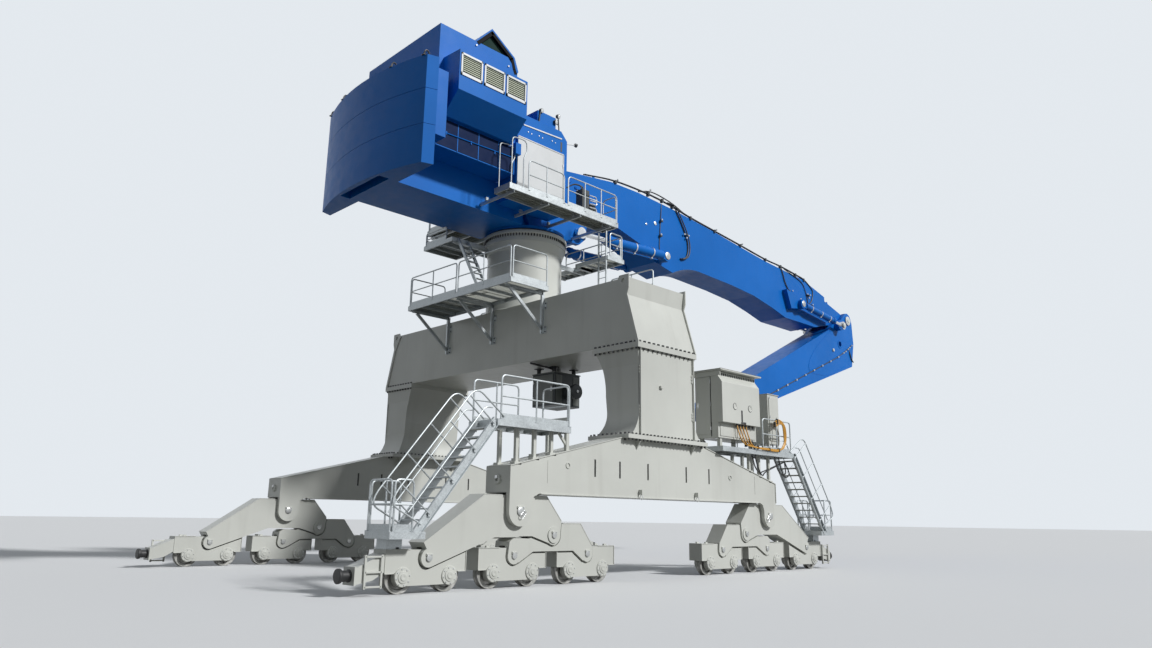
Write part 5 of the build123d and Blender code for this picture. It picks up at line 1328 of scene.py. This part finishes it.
@dataclass
class UpperDecks(Assembly):
    """Plank walkways of the upper carriage with their rims, cross members and guard rails."""

    body: Body = Body.UPPER
    top: float = 12.35
    gap: float = 0.014
    plank: float = 0.145
    decks: Rows = ((-3.34, 1.93, -3.0, -2.2), (-2.40, 0.21, 1.2, 3.0))
    members: Rows = (
        (-3.14, -3.0, -1.2), (-1.597, -3.0, -1.2), (-0.053, -3.0, -0.985), (1.49, -3.0, -0.985),
        (-2.2, 1.2, 3.0), (-1.463, 1.2, 3.0), (-0.727, 0.985, 3.0), (0.01, 0.985, 3.0),
    )
    sections: Rows = (
        (-2.50, -2.98, -0.85, -2.98, 3), (-0.65, -2.98, 1.87, -2.98, 4), (1.90, -2.91, 1.90, -2.26, 2),
        (-2.34, 2.98, 0.15, 2.98, 4), (-2.37, 2.90, -2.37, 1.35, 3),
    )
    hoop: Rows = (
        (-3.22, 12.36), (-3.22, 14.08), (-2.92, 14.12), (-2.60, 14.12), (-2.55, 13.75), (-2.70, 13.48),
        (-2.68, 12.36),
    )

    def floors(self) -> None:
        """Channels laid side by side, open downwards, in a deep rim over the cross members."""
        planks = self.piece("upper_walkway_planks", Finish.ZINC_DARK, flat=True, stands_for="side_walkways")
        steel = self.piece("upper_walkway_frame", Finish.ZINC, flat=True)
        for x0, x1, y0, y1 in self.decks:
            number = round((y1 - y0) / (self.plank + self.gap))
            pitch, z = (y1 - y0 - 0.03) / number, self.top - 0.004
            for y in y0 + 0.015 + pitch * (np.arange(number) + 0.5):
                planks.channel((x0 + 0.02, y, z), (x1 - 0.02, y, z), pitch - self.gap, 0.045, -Z, 0.007)
            steel.rim(x0, x1, y0, y1, self.top - 0.06, 0.20, 0.06)
        for x, y0, y1 in self.members:
            steel.channel((x, y0, 12.15), (x, y1, 12.15), 0.10, 0.06, X)
            for y in (y0 + 0.35, y1 - 0.35):
                steel.box((x - 0.05, y - 0.04, 12.20), (x + 0.05, y + 0.04, 12.305))

    def build(self) -> None:
        """Build the decks, every rail, and the tall hoops where the ladder comes up on the right."""
        self.floors()
        rails = self.piece("upper_guard_rails", Finish.ZINC, stands_for="upper_rails")
        boards = self.piece("upper_toe_boards", Finish.ZINC, flat=True)
        Guard(rails, boards, corner=0.17).add(self.top, self.sections)
        for y in (-2.92, -2.28):
            rails.tube(rounded([(x, y, z) for x, z in self.hoop], 0.14), 0.022)


@dataclass
class Houses(Assembly):
    """Fittings of the engine house, its hood and cooler, the counterweight and the front house."""

    body: Body = Body.UPPER
    grille_x: tuple[float, ...] = (-5.59, -4.65, -3.71)
    grille_wide: float = 0.86
    grille_z: tuple[float, float] = (15.32, 16.10)
    box_y: float = -3.10
    half: float = 2.20
    louvres: int = 8
    hood: Rows = ((-4.32, 17.44), (-3.69, 18.13), (-2.72, 17.50), (-2.60, 17.10), (-2.52, 16.93))
    shade_plate_outline: Rows = ((-4.24, 17.42), (-2.97, 17.42), (-2.54, 16.99), (-2.62, 17.14), (-2.76, 17.46), (-3.69, 18.09))

    def grilles(self) -> None:
        """White frames with sloped louvres over a near-black plate, painted shade for the dark inside behind them."""
        frames = self.piece("grille_frames", Finish.FRAME_WHITE, bevel=0.004, stands_for="cooler_grilles")
        louvres = self.piece("grille_louvres", Finish.MESH_GREY, flat=True)
        dark = self.piece("grille_painted_shade", Finish.PAINTED_SHADE_PLATE, flat=True)
        y, (z0, z1) = self.box_y, self.grille_z
        for x0 in self.grille_x:
            x1 = x0 + self.grille_wide
            for xa, za, xb, zb in (
                (x0, z0, x1, z0 + 0.085), (x0, z1 - 0.065, x1, z1), (x0, z0, x0 + 0.055, z1), (x1 - 0.055, z0, x1, z1),
            ):
                frames.box((xa, y - 0.03, za), (xb, y + 0.004, zb))
            sill = z0 + 0.115
            frames.beam((x0 + 0.05, y + 0.012, sill), (x1 - 0.05, y + 0.012, sill), 0.075, 0.008, (0, 0.6, 0.8))
            for z in np.linspace(z0 + 0.195, z1 - 0.095, self.louvres):
                louvres.beam((x0 + 0.045, y + 0.016, z), (x1 - 0.045, y + 0.016, z), 0.056, 0.006, (0, 0.5, 1.0))
            # Painted shade: a near-black plate standing for the dark inside behind the louvres.
            dark.box((x0 + 0.042, y + 0.10, z0 + 0.045), (x1 - 0.042, y + 0.114, z1 - 0.045))
            spots = [(x, y - 0.03, z) for x in (x0 + 0.03, x1 - 0.03) for z in (z0 + 0.04, z1 - 0.035)]
            frames.bolts(spots, -Y, 0.012, 0.008)

    def hood_lining(self) -> None:
        """Black seals along the hood's edge, and a near-black plate set back inside it as painted shade for the hood's
        dark inside.
        """
        seals = self.piece("hood_seals", Finish.SEAL, flat=True)
        shade_plates = self.piece("hood_painted_shade_plates", Finish.PAINTED_SHADE_PLATE, flat=True)
        line = [np.array((x, 0.0, z)) for x, z in self.hood]
        middle = np.array((-3.6, 0.0, 17.1))
        for sy in SIDES:
            for a, b in zip(line, line[1:]):
                shift = unit(middle - (a + b) / 2) * 0.05 + Y * sy * (self.half - 0.055)
                seals.beam(a + shift, b + shift, 0.13, 0.13)
            # Painted shade: a near-black plate closing the hood's end, standing for its dark inside.
            shade_plates.plate(self.shade_plate_outline, Y * sy * (self.half - 0.12), X, Z, 0.02)

    def house_fittings(self) -> None:
        """Flank doors with hinges and latches, small bright bolts, and the step box."""
        doors = self.piece("house_doors", Finish.BLUE, bevel=0.006)
        metal = self.piece("house_metal", Finish.BRIGHT)
        dark = self.piece("house_slots", Finish.RING, flat=True)
        y = self.half
        for x0, x1 in ((-5.68, -4.70), (-4.64, -3.66), (-3.60, -2.62)):
            doors.box((x0, y - 0.01, 13.35), (x1, y + 0.018, 15.55))
            metal.box((x0 + 0.05, y + 0.018, 14.35), (x0 + 0.09, y + 0.05, 14.53))
            for z in (13.7, 15.2):
                metal.hinge((x1 - 0.01, y + 0.026, z))
            for z in np.arange(14.75, 15.4, 0.065):
                dark.box((x0 + 0.16, y + 0.016, z), (x1 - 0.16, y + 0.022, z + 0.028))
        doors.boxes(((-2.64, -2.42, 13.84, -2.40, -2.19, 14.25), (-6.44, -0.8, 15.42, -5.84, 0.8, 15.46)))
        for x, z in ((-4.36, 17.28), (-2.93, 17.10), (-2.56, 16.62)):
            metal.lathe((x, -y, z), -Y, ((0.035, -0.01), (0.035, 0.03), (0.02, 0.045), (0.008, 0.045)), 14)

    def painted_shade_bay(self) -> None:
        """Near-black panels on the house flank under the cooler, painted shade for the shaded recess there, in thin
        ribs, with the rail along them.
        """
        y = -self.half
        # Painted shade: a near-black panel standing for the shaded recess under the cooler.
        self.piece("painted_shade_bays", Finish.PAINTED_SHADE_BAY, flat=True).box((-5.80, y - 0.012, 13.19), (-2.53, y + 0.01, 14.12))
        ribs = self.piece("bay_ribs", Finish.BLUE, flat=True)
        for x in (-5.80, -4.95, -4.10, -3.25, -2.56):
            ribs.box((x, y - 0.020, 13.17), (x + 0.03, y + 0.01, 14.13))
        ribs.tube(((-5.78, y - 0.035, 13.64), (-2.56, y - 0.035, 13.74)), 0.018)
        for x in (-5.4, -4.4, -3.4):
            ribs.box((x - 0.02, y - 0.04, 13.60), (x + 0.02, y, 13.72))

    def counterweight_eyes(self) -> None:
        """Black lifting eyes on the top slab: a bent bar each, on a foot plate."""
        mesh = self.piece("counterweight_eyes", Finish.BOLT, slot="ring_steel")
        for x, reach in ((-6.72, 2.86), (-7.02, 1.5)):
            for y in (-reach, reach):
                mesh.tube(arc((x, y, 15.57), X * 0.10, Z * 0.19, 11, sweep=math.pi), 0.026, 10)
                mesh.box((x - 0.16, y - 0.06, 15.545), (x + 0.16, y + 0.06, 15.57))

    def front_lamps(self) -> None:
        """Work lamps on stalks over the front house, its pale bars, bright bolts and dark slit."""
        dark = self.piece("lamp_housings", Finish.CABINET_DARK)
        lens = self.piece("lamp_lenses", Finish.LENS)
        metal = self.piece("front_house_bolts", Finish.BRIGHT)
        bars = self.piece("front_house_bars", Finish.FRAME_WHITE)
        dark.tube(((-1.37, -2.14, 15.50), (-1.31, -2.14, 16.02)), 0.024)
        dark.tube(((-0.36, -2.14, 15.50), (-0.42, -2.14, 16.10)), 0.024)
        dark.tube(((-0.40, -2.14, 15.80), (-0.56, -2.16, 15.80)), 0.02)
        for place in ((-1.24, -2.17, 16.06), (-0.40, -2.17, 16.14), (-0.54, -2.19, 15.86)):
            work_lamp(dark, lens, place, (0.25, -0.95, -0.2), 0.085)
        bars.beam((-2.14, -2.212, 15.16), (-0.28, -2.212, 15.26), 0.024, 0.045)
        for x, z in ((-1.92, 14.96), (-1.40, 14.99), (-0.76, 15.02)):
            metal.bolts(((x, -2.2, z), (x + 0.16, -2.2, z - 0.02)), -Y, 0.024, 0.02, 10)
        dark.box((-0.33, -2.203, 14.75), (-0.25, -2.195, 15.14))
        bars.tube(((-0.02, -2.1, 15.19), (0.52, -2.1, 15.33)), 0.02)
        work_lamp(dark, lens, (0.60, -2.1, 15.33), (0.97, -0.1, -0.2), 0.075)

    def panel_edges(self) -> None:
        """Folded edges and hinges of the white service panel."""
        edges = self.piece("service_panel_edges", Finish.PANEL, flat=True)
        metal = self.piece("service_panel_metal", Finish.BRIGHT)
        x0, x1, y, z0, z1 = -2.37, -0.19, -2.225, 12.46, 14.65
        for xa, za, xb, zb in ((x0, z1, x1, z1), (x0, z0, x1, z0), (x0, z0, x0, z1), (x1, z0, x1, z1)):
            edges.beam((xa, y - 0.006, za), (xb, y - 0.006, zb), 0.02, 0.035)
        for x in (x0 + 0.02, x1 - 0.02):
            for z in (12.9, 14.2):
                metal.hinge((x, y - 0.02, z))

    def valve_stand(self) -> None:
        """A near-black box on the walkway, a valve cabinet whose dark colour is painted shade, with bright looped
        pipes, and black hoses strapped down its side.
        """
        dark = self.piece("valve_box_painted_shade", Finish.CABINET_DARK, bevel=0.008)
        pipes = self.piece("valve_pipes", Finish.BRIGHT)
        hoses = self.piece("valve_hoses", Finish.RUBBER)
        # Painted shade: the near-black box stands in for the shadow on the blue part behind the rails.
        dark.boxes(((0.42, -2.62, 12.35, 0.78, -2.28, 13.42), (0.86, -2.58, 12.35, 1.16, -2.30, 12.95)))
        for z in (13.12, 13.24, 12.78):
            loop = [(x, -2.64, z + dz) for x, dz in ((0.76, 0.0), (1.12, 0.02), (1.16, -0.16), (0.80, -0.20))]
            pipes.tube(rounded(loop, 0.06), 0.022)
        for s in (0.0, 0.09):
            hoses.tube(eased((
                (0.60 + s, -2.40, 13.40), (0.58 + s, -2.36, 13.62), (0.36, -2.24 - s / 2, 13.66),
                (0.10, -2.12 - s / 2, 13.50), (-0.01, -2.08, 13.40),
            )), 0.024)

    def foot_pins(self) -> None:
        """Caps and keeper plates of the boom's foot pin on the cheeks."""
        caps = self.piece("boom_foot_caps", Finish.PIN)
        keepers = self.piece("boom_foot_keepers", Finish.BLUE, flat=True)
        for sy in SIDES:
            cap = ((0.128, -0.01), (0.128, 0.006), (0.11, 0.018), (0.05, 0.022), (0.01, 0.02))
            caps.lathe((1.80, sy * 1.004, 14.10), Y * sy, cap)
            keepers.box((1.62, sy * 0.985, 14.245), (1.98, sy * 1.025, 14.33))
            keepers.bolts(((1.68, sy * 1.025, 14.29), (1.92, sy * 1.025, 14.29)), Y * sy, 0.022, 0.02)

    def build(self) -> None:
        """Build every fitting of the upper carriage's houses."""
        self.grilles()
        self.hood_lining()
        self.house_fittings()
        self.painted_shade_bay()
        self.counterweight_eyes()
        self.front_lamps()
        self.panel_edges()
        self.valve_stand()
        self.foot_pins()


@dataclass
class Pad(Mesh):
    """A padded cushion of the seat."""

    def shape(self, low: Point, high: Point, crown: int, channels: int, across: int) -> None:
        """Shape a crowned closed pad between two corners.

        The form is a superellipsoid: each half size is scaled by a power of the sine or cosine of the
        two parameters, which gives flat middles and pulled-in corners. Sewn channels are shallow grooves
        where a high power of a cosine along one axis is near 1.

        Args:
            low: its lowest corner.
            high: its highest corner.
            crown: the axis along which it is thin.
            channels: how many sewn channels it has.
            across: the axis along which the channels follow each other.
        """
        a, b = np.array(low, float), np.array(high, float)
        u, v = np.meshgrid(np.linspace(0, TURN, 97)[:-1], np.linspace(-np.pi / 2, np.pi / 2, 49), indexing="ij")

        def bent(value: np.ndarray, power: float) -> np.ndarray:
            """A value raised to a power with its sign kept."""
            return np.sign(value) * np.abs(value) ** power

        ring = bent(np.cos(v), 0.42)
        order = [axis for axis in range(3) if axis != crown] + [crown]
        form = np.empty((*u.shape, 3))
        spans = (ring * bent(np.cos(u), 0.34), ring * bent(np.sin(u), 0.34), bent(np.sin(v), 0.55))
        for axis, values in zip(order, spans):
            form[..., axis] = values
        wave = np.abs(np.cos(np.pi * channels * (form[..., across] + 1) / 2)) ** 24
        form[..., crown] *= 1 - 0.16 * wave * (np.abs(form[..., across]) < 0.93)
        self.grid((a + b) / 2 + form * (b - a) / 2, loop_u=True)

    def make(self) -> bpy.types.Object:
        """Make the pad's object and join the points of each pole."""
        pad = super().make()
        turn_out(pad.data, 1e-5)
        return pad


@dataclass
class Cab(Assembly):
    """Seals, mirrors, wiper, lamps, door handle and the padded seat of the operator's cab."""

    body: Body = Body.UPPER
    sides: tuple[float, float] = (1.50, 3.35)

    def seals(self) -> None:
        """Rubber beads round every window."""
        mesh = self.piece("cab_seals", Finish.RUBBER)
        for y, x0, x1, z0, z1 in ((self.sides[0], 0.45, 2.13, 13.32, 14.99), (self.sides[1], 1.43, 2.09, 13.12, 14.99)):
            mesh.seam(((x0, y, z0), (x1, y, z0), (x1, y, z1), (x0, y, z1)), 0.022)
        mesh.seam(((0.55, 1.90, 15.15), (2.15, 1.90, 15.15), (2.15, 2.95, 15.15), (0.55, 2.95, 15.15)), 0.022)
        for y in (1.64, 3.21):
            mesh.tube(((2.44, y, 14.98), (2.645, y, 14.25), (2.345, y, 12.68)), 0.022)
        for x, z, radius in ((2.44, 14.98, 0.022), (2.345, 12.68, 0.022), (2.648, 14.25, 0.012)):
            mesh.tube(((x, 1.64, z), (x, 3.21, z)), radius)

    def fittings(self) -> None:
        """Mirrors, grab rails, roof lamps and the wiper."""
        dark = self.piece("cab_dark_fittings", Finish.CABINET_DARK, flat=True)
        metal = self.piece("cab_bright_fittings", Finish.BRIGHT)
        lens = self.piece("cab_lamp_lenses", Finish.LENS)
        for y, out in zip(self.sides, SIDES):
            arm = ((2.30, y, 14.72), (2.42, y + out * 0.22, 14.74), (2.44, y + out * 0.26, 14.30))
            metal.tube(rounded(arm, 0.06), 0.014)
            dark.box((2.40, y + out * 0.17, 14.02), (2.46, y + out * 0.36, 14.46))
            metal.box((2.394, y + out * 0.185, 14.04), (2.40, y + out * 0.345, 14.44))
            work_lamp(dark, lens, (2.43, y - out * 0.22, 15.24), (0.97, 0, -0.25), 0.08)
            dark.box((2.30, y - out * 0.26, 15.14), (2.36, y - out * 0.18, 15.25))
        for x in (1.36, 2.13):
            metal.tube(rounded(((x, 3.35, 12.95), (x, 3.42, 12.98), (x, 3.42, 14.1), (x, 3.35, 14.13)), 0.04), 0.015)
        dark.tube(((2.665, 2.42, 14.20), (2.58, 2.36, 14.52), (2.49, 2.20, 14.84)), 0.011)
        dark.beam((2.632, 2.15, 14.33), (2.475, 2.28, 14.90), 0.016, 0.022, X)
        dark.box((2.63, 2.37, 14.15), (2.672, 2.47, 14.23))

    def door(self) -> None:
        """The door's lever handle, lock plate and window seal, which swing with it."""
        seal = self.piece("door_seal", Finish.RUBBER, body=Body.DOOR)
        metal = self.piece("door_handle", Finish.BRIGHT, body=Body.DOOR)
        seal.seam([(x, 3.345, z) for x, z in ((0.528, 13.37), (1.232, 13.37), (1.232, 14.89), (0.528, 14.89))], 0.018)
        seal.box((1.19, 3.35, 13.08), (1.30, 3.366, 13.30))
        metal.tube(rounded(((1.27, 3.36, 13.24), (1.27, 3.41, 13.24), (1.12, 3.41, 13.24)), 0.03), 0.013)

    def seat(self) -> None:
        """Seat and back cushions on a sprung base, with arm rests and levers."""
        for name, node, low, high, crown, channels, across in (
            ("seat_cushion", "operator_seat", (0.86, 2.13, 12.84), (1.45, 2.72, 12.98), 2, 4, 0),
            ("seat_back", "", (0.78, 2.16, 12.99), (0.92, 2.69, 13.66), 0, 5, 2),
        ):
            pad = Pad(name, Finish.CLOTH, self.body, stands_for=node)
            pad.shape(low, high, crown, channels, across)
            self.pieces.append(pad)
        base = self.piece("seat_base", Finish.CABINET_DARK, bevel=0.008)
        for number in range(5):
            z, inset = 12.57 + number * 0.045, 0.01 * (number % 2)
            base.box((1.02 + inset, 2.26, z), (1.34 - inset, 2.59, z + 0.03))
        base.boxes((
            (0.98, 2.22, 12.48, 1.38, 2.63, 12.56), (0.90, 2.16, 12.79, 1.42, 2.69, 12.845),
            (0.775, 2.30, 12.82, 0.80, 2.55, 13.5),
        ))
        for y in (2.085, 2.775):
            base.box((0.95, y - 0.035, 12.80), (1.50, y + 0.035, 13.12))
            base.tube(((1.42, y, 13.10), (1.44, y, 13.26)), 0.014)
            base.lathe((1.445, y, 13.30), Z, ((0.012, -0.06), (0.026, -0.03), (0.03, 0.02), (0.012, 0.05)), 14)

    def build(self) -> None:
        """Build the cab's pieces."""
        self.seals()
        self.fittings()
        self.door()
        self.seat()


@dataclass
class Boom(Assembly):
    """Hoses, clamps, small fittings and caps of the boom and its cylinders."""

    body: Body = Body.BOOM
    side: float = -0.77
    top: Rows = (
        (2.4, 15.16), (4.22, 15.44), (6.35, 15.50), (8.02, 15.40), (9.33, 15.24), (11.19, 15.08), (13.34, 14.90),
        (15.57, 14.70), (16.99, 14.66), (18.46, 14.54), (19.30, 14.44), (20.05, 14.10), (20.19, 13.86),
        (20.05, 13.40), (19.72, 13.12),
    )
    arch: Rows = ((5.7, 15.42), (6.6, 15.66), (7.9, 15.56), (8.9, 15.30), (9.6, 15.20))
    loop: Rows = (
        (7.5, 15.42), (8.05, 15.42), (8.45, 15.0), (8.93, 14.28), (9.08, 13.75), (8.98, 13.28), (8.67, 13.08),
        (8.50, 13.05),
    )
    flank: Rows = ((16.6, 14.62), (16.95, 14.60), (17.15, 14.3), (17.35, 13.85), (17.72, 13.42))
    short: Rows = ((17.3, 14.56), (18.3, 14.40), (19.1, 14.18), (19.45, 13.7), (19.62, 13.15))
    clamps: Rows = (
        (4.22, 15.42, 0.10), (6.35, 15.56, 0.16), (7.3, 15.50, 0.12), (8.02, 15.44, 0.14), (9.33, 15.24, 0.12),
        (11.19, 15.08, 0.10), (13.34, 14.90, 0.10), (15.57, 14.70, 0.10), (16.99, 14.66, 0.12),
        (18.46, 14.54, 0.12), (19.30, 14.44, 0.12),
    )
    blocks: Rows = ((8.93, 14.28), (19.66, 13.60), (7.16, 14.45), (7.10, 13.75), (17.66, 13.46), (20.7, 12.96))
    couplings: Rows = (
        (8.78, 14.26), (9.08, 14.26), (8.93, 14.12), (19.52, 13.64), (19.80, 13.64), (19.66, 13.45), (17.98, 13.50),
        (18.76, 13.22), (7.17, 14.52), (7.11, 13.82), (4.30, 15.50), (6.42, 15.70), (11.27, 15.14), (13.42, 14.96),
    )
    lugs: Rows = (
        (21.90, 13.80, 0.16), (22.45, 13.66, 0.20), (20.75, 14.08, 0.12), (18.05, 14.46, 0.10), (3.3, 15.24, 0.22),
    )

    def hoses(self) -> None:
        """Black hoses clamped along the top edge, a loop down the flank and the arches near the tip."""
        rubber = self.piece("boom_hoses", Finish.RUBBER)
        metal = self.piece("boom_hose_clamps", Finish.CABINET_DARK, bevel=0.006)
        y, top, loop = self.side, np.array(self.top), np.array(self.loop)
        for inwards, line, steps, radius in (
            (0.0, top, 5, 0.028), (0.077, top[:-4] + (0, 0.021), 5, 0.028), (0.02, self.arch, 5, 0.028),
            (-0.02, loop, 6, 0.028), (-0.08, loop + (0.06, 0), 6, 0.028), (-0.02, self.flank, 5, 0.028),
            (-0.01, self.short, 5, 0.02),
        ):
            rubber.tube(eased([(x, y + inwards, z) for x, z in line], steps), radius)
        rubber.tube(eased((
            (7.25, y + 0.02, 15.30), (7.21, y, 15.0), (7.13, y, 14.2), (7.06, y, 13.35), (7.08, y, 13.05),
        ), 4), 0.018)
        rubber.tube(eased((
            (19.9, y - 0.03, 13.15), (20.4, y - 0.05, 12.98), (20.9, y - 0.05, 12.92), (21.4, y - 0.03, 12.86),
        ), 5), 0.022)
        for x, z, wide in self.clamps:
            metal.box((x - 0.05, y - 0.045, z - wide), (x + 0.05, y + 0.10, z + 0.045))
        for x, z in self.blocks:
            metal.box((x - 0.07, y - 0.10, z - 0.035), (x + 0.07, y + 0.025, z + 0.035))

    def bright(self) -> None:
        """Bright couplings, grease points and pin caps on the boom."""
        metal = self.piece("boom_couplings", Finish.BRIGHT)
        caps = self.piece("cylinder_base_caps", Finish.PIN)
        lugs = self.piece("boom_lugs", Finish.BLUE, flat=True)
        coupling = ((0.036, -0.03), (0.044, 0.0), (0.044, 0.03), (0.026, 0.05), (0.01, 0.05))
        for x, z in self.couplings:
            metal.lathe((x, self.side - 0.06, z), -Y, coupling, 10)
        for x, z, radius in ((6.81, 14.27, 0.085), (6.20, 14.08, 0.05), (20.2, 13.2, 0.04)):
            point = ((radius, -0.01), (radius, 0.02), (radius * 0.7, 0.03), (0.01, 0.03))
            metal.lathe((x, self.side + 0.02, z), -Y, point, 20)
        for sy in SIDES:
            for x, z in ((7.08, 12.74), (18.40, 12.82)):
                caps.lathe((x, sy * 1.203, z), Y * sy, (
                    (0.13, 0.004), (0.165, 0.006), (0.165, 0.03), (0.14, 0.042), (0.06, 0.046), (0.05, 0.06),
                    (0.01, 0.06),
                ))
            for x, z, high in self.lugs:
                outline = ((x - 0.14, z - 0.03), (x + 0.14, z - 0.06), (x + 0.05, z + high), (x - 0.05, z + high))
                lugs.plate(outline, Y * sy * 0.36, X, Z, 0.03)

    def cylinders(self) -> None:
        """Bands, pipes and gland bolts of the barrels."""
        for body, base, eye, radius, length, bands in (
            (Body.BOOM_BARRELS, (7.08, 0, 12.74), (1.86, 0, 12.43), 0.205, 3.75, (1.0, 2.1, 3.2)),
            (Body.STICK_BARRELS, (18.40, 0, 12.82), (22.70, 0, 12.40), 0.160, 3.35, (0.9, 1.9, 2.8)),
        ):
            metal = self.piece(f"{body.value}_bands", Finish.BRIGHT, body=body)
            pipes = self.piece(f"{body.value}_pipes", Finish.BLUE, body=body)
            heads = self.piece(f"{body.value}_gland_bolts", Finish.BOLT, body=body, flat=True)
            way = unit(np.subtract(eye, base))
            drop = np.cross(way, Y)
            drop *= -np.sign(drop[2])
            low, high = radius - 0.003, radius + 0.014
            for sy in SIDES:
                start = base + Y * sy * 1.11
                for at in bands:
                    band = ((low, -0.03), (high, -0.03), (high, 0.03), (low, 0.03))
                    metal.lathe(start + way * at, way, band, 40, True)
                    metal.block(start + way * at + drop * (radius + 0.03), 0.035, 0.05, 0.035)
                line = [
                    start + way * at + drop * (radius + off)
                    for at, off in ((0.55, 0.0), (0.62, 0.05), (length - 0.35, 0.05), (length - 0.26, 0.0))
                ]
                pipes.tube(rounded(line, 0.05), 0.024, 10)
                circle = radius - 0.01
                spots = arc(start + way * (length + 0.001), Y * circle, drop * circle, 11)[:-1]
                heads.bolts(spots, way, 0.018, 0.02)

    def build(self) -> None:
        """Build the boom's pieces."""
        self.hoses()
        self.bright()
        self.cylinders()


@dataclass
class Stick(Assembly):
    """The clamped pipe, doubler plates, caps and the short hose of the stick."""

    body: Body = Body.STICK
    side: float = 0.74
    clamps: int = 11
    fittings: Rows = ((24.32, 11.57), (24.05, 11.40), (23.86, 11.28), (23.55, 11.10), (23.30, 10.98))
    doubler: Rows = (
        (24.20, 10.50), (22.09, 9.72), (21.18, 9.40), (19.70, 9.36), (19.33, 9.54), (19.55, 10.10), (20.44, 10.98),
        (21.5, 11.70), (22.3, 12.25),
    )

    def pipes(self) -> None:
        """One pipe down the right flank held by bright clamps, and its mirrored twin on the left."""
        rubber = self.piece("stick_pipes", Finish.RUBBER)
        metal = self.piece("stick_clamps", Finish.BRIGHT)
        for sy in SIDES:
            face, y = sy * self.side, sy * (self.side + 0.035)
            a, b = (22.66, y, 10.66), (13.4, y, 6.90)
            rubber.tube(rounded(((24.30, y, 11.55), (23.70, y, 11.20), a, b, (13.25, face, 6.85)), 0.4), 0.024)
            for spot in np.linspace(a, b, self.clamps):
                metal.block(spot, 0.045, 0.035, 0.045)
            short = ((24.02, face - sy * 0.005, 11.30), (24.10, y, 11.0), (24.24, y, 10.74), (24.42, y, 10.60))
            rubber.tube(eased(short, 6), 0.03)
            for x, z in self.fittings:
                metal.lathe((x, face, z), Y * sy, ((0.045, -0.01), (0.045, 0.07), (0.03, 0.085), (0.01, 0.085)), 10)

    def plates(self) -> None:
        """Doubler plates beside the root with a softly curved outline, pin caps, and rims round the open bores."""
        plates = self.piece("stick_doublers", Finish.BLUE, flat=True)
        caps = self.piece("stick_pin_caps", Finish.PIN_PALE)
        dark = self.piece("stick_tip_rings", Finish.PIN)
        for sy in SIDES:
            face, out = sy * self.side, Y * sy
            outline = rounded([(x, face, z) for x, z in self.doubler], 0.35, 6)
            for a, b in zip(outline, outline[1:]):
                plates.beam(a, b, 0.024, 0.016)
            rim = ((0.15, -0.01), (0.155, 0.02), (0.235, 0.02), (0.24, -0.01))
            plates.lathe((23.0, face, 11.45), out, rim, 40, True)
            caps.lathe((24.05, face + sy * 0.03, 12.97), out, (
                (0.148, -0.02), (0.25, -0.018), (0.262, 0.0), (0.262, 0.03), (0.235, 0.045), (0.12, 0.05),
                (0.10, 0.075), (0.01, 0.078),
            ), 44)
            caps.lathe((22.70, sy * 1.009, 12.40), out, (
                (0.12, 0.0), (0.085, 0.002), (0.085, 0.225), (0.15, 0.23), (0.15, 0.26), (0.12, 0.275), (0.01, 0.28),
            ), 36)
            caps.lathe((22.17, face, 10.98), out, ((0.09, -0.01), (0.09, 0.05), (0.075, 0.065), (0.01, 0.068)), 28)
            dark.lathe((10.90, face, 6.40), out, ((0.12, -0.01), (0.12, 0.02), (0.24, 0.02), (0.25, -0.01)), 44, True)

    def build(self) -> None:
        """Build the stick's pieces."""
        self.pipes()
        self.plates()


def dress_nodes() -> None:
    """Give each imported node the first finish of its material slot."""
    finishes: dict[str, Finish] = {}
    for finish in Finish:
        finishes.setdefault(finish.value.slot, finish)
    slots = {row["node"]: row["material_slot"] for row in frame["record"]["subparts"]}
    for name, node in frame["nodes"].items():
        node.data.materials.clear()
        node.data.materials.append(material_of(finishes[slots[name]]))


def main() -> None:
    """Build the stage and the machine's looks in order."""
    logging.basicConfig(level=logging.INFO, format="%(name)s %(message)s")
    Stage().make()
    dress_nodes()
    for part in (
        RailWheels, Running, PortalSteel, BeamWalkway, Stairs, BufferSteps, Cabinets, UpperDecks, Houses, Cab, Boom,
        Stick,
    ):
        part().make()
    LOG.info("done")


if __name__ == "__main__":
    main()
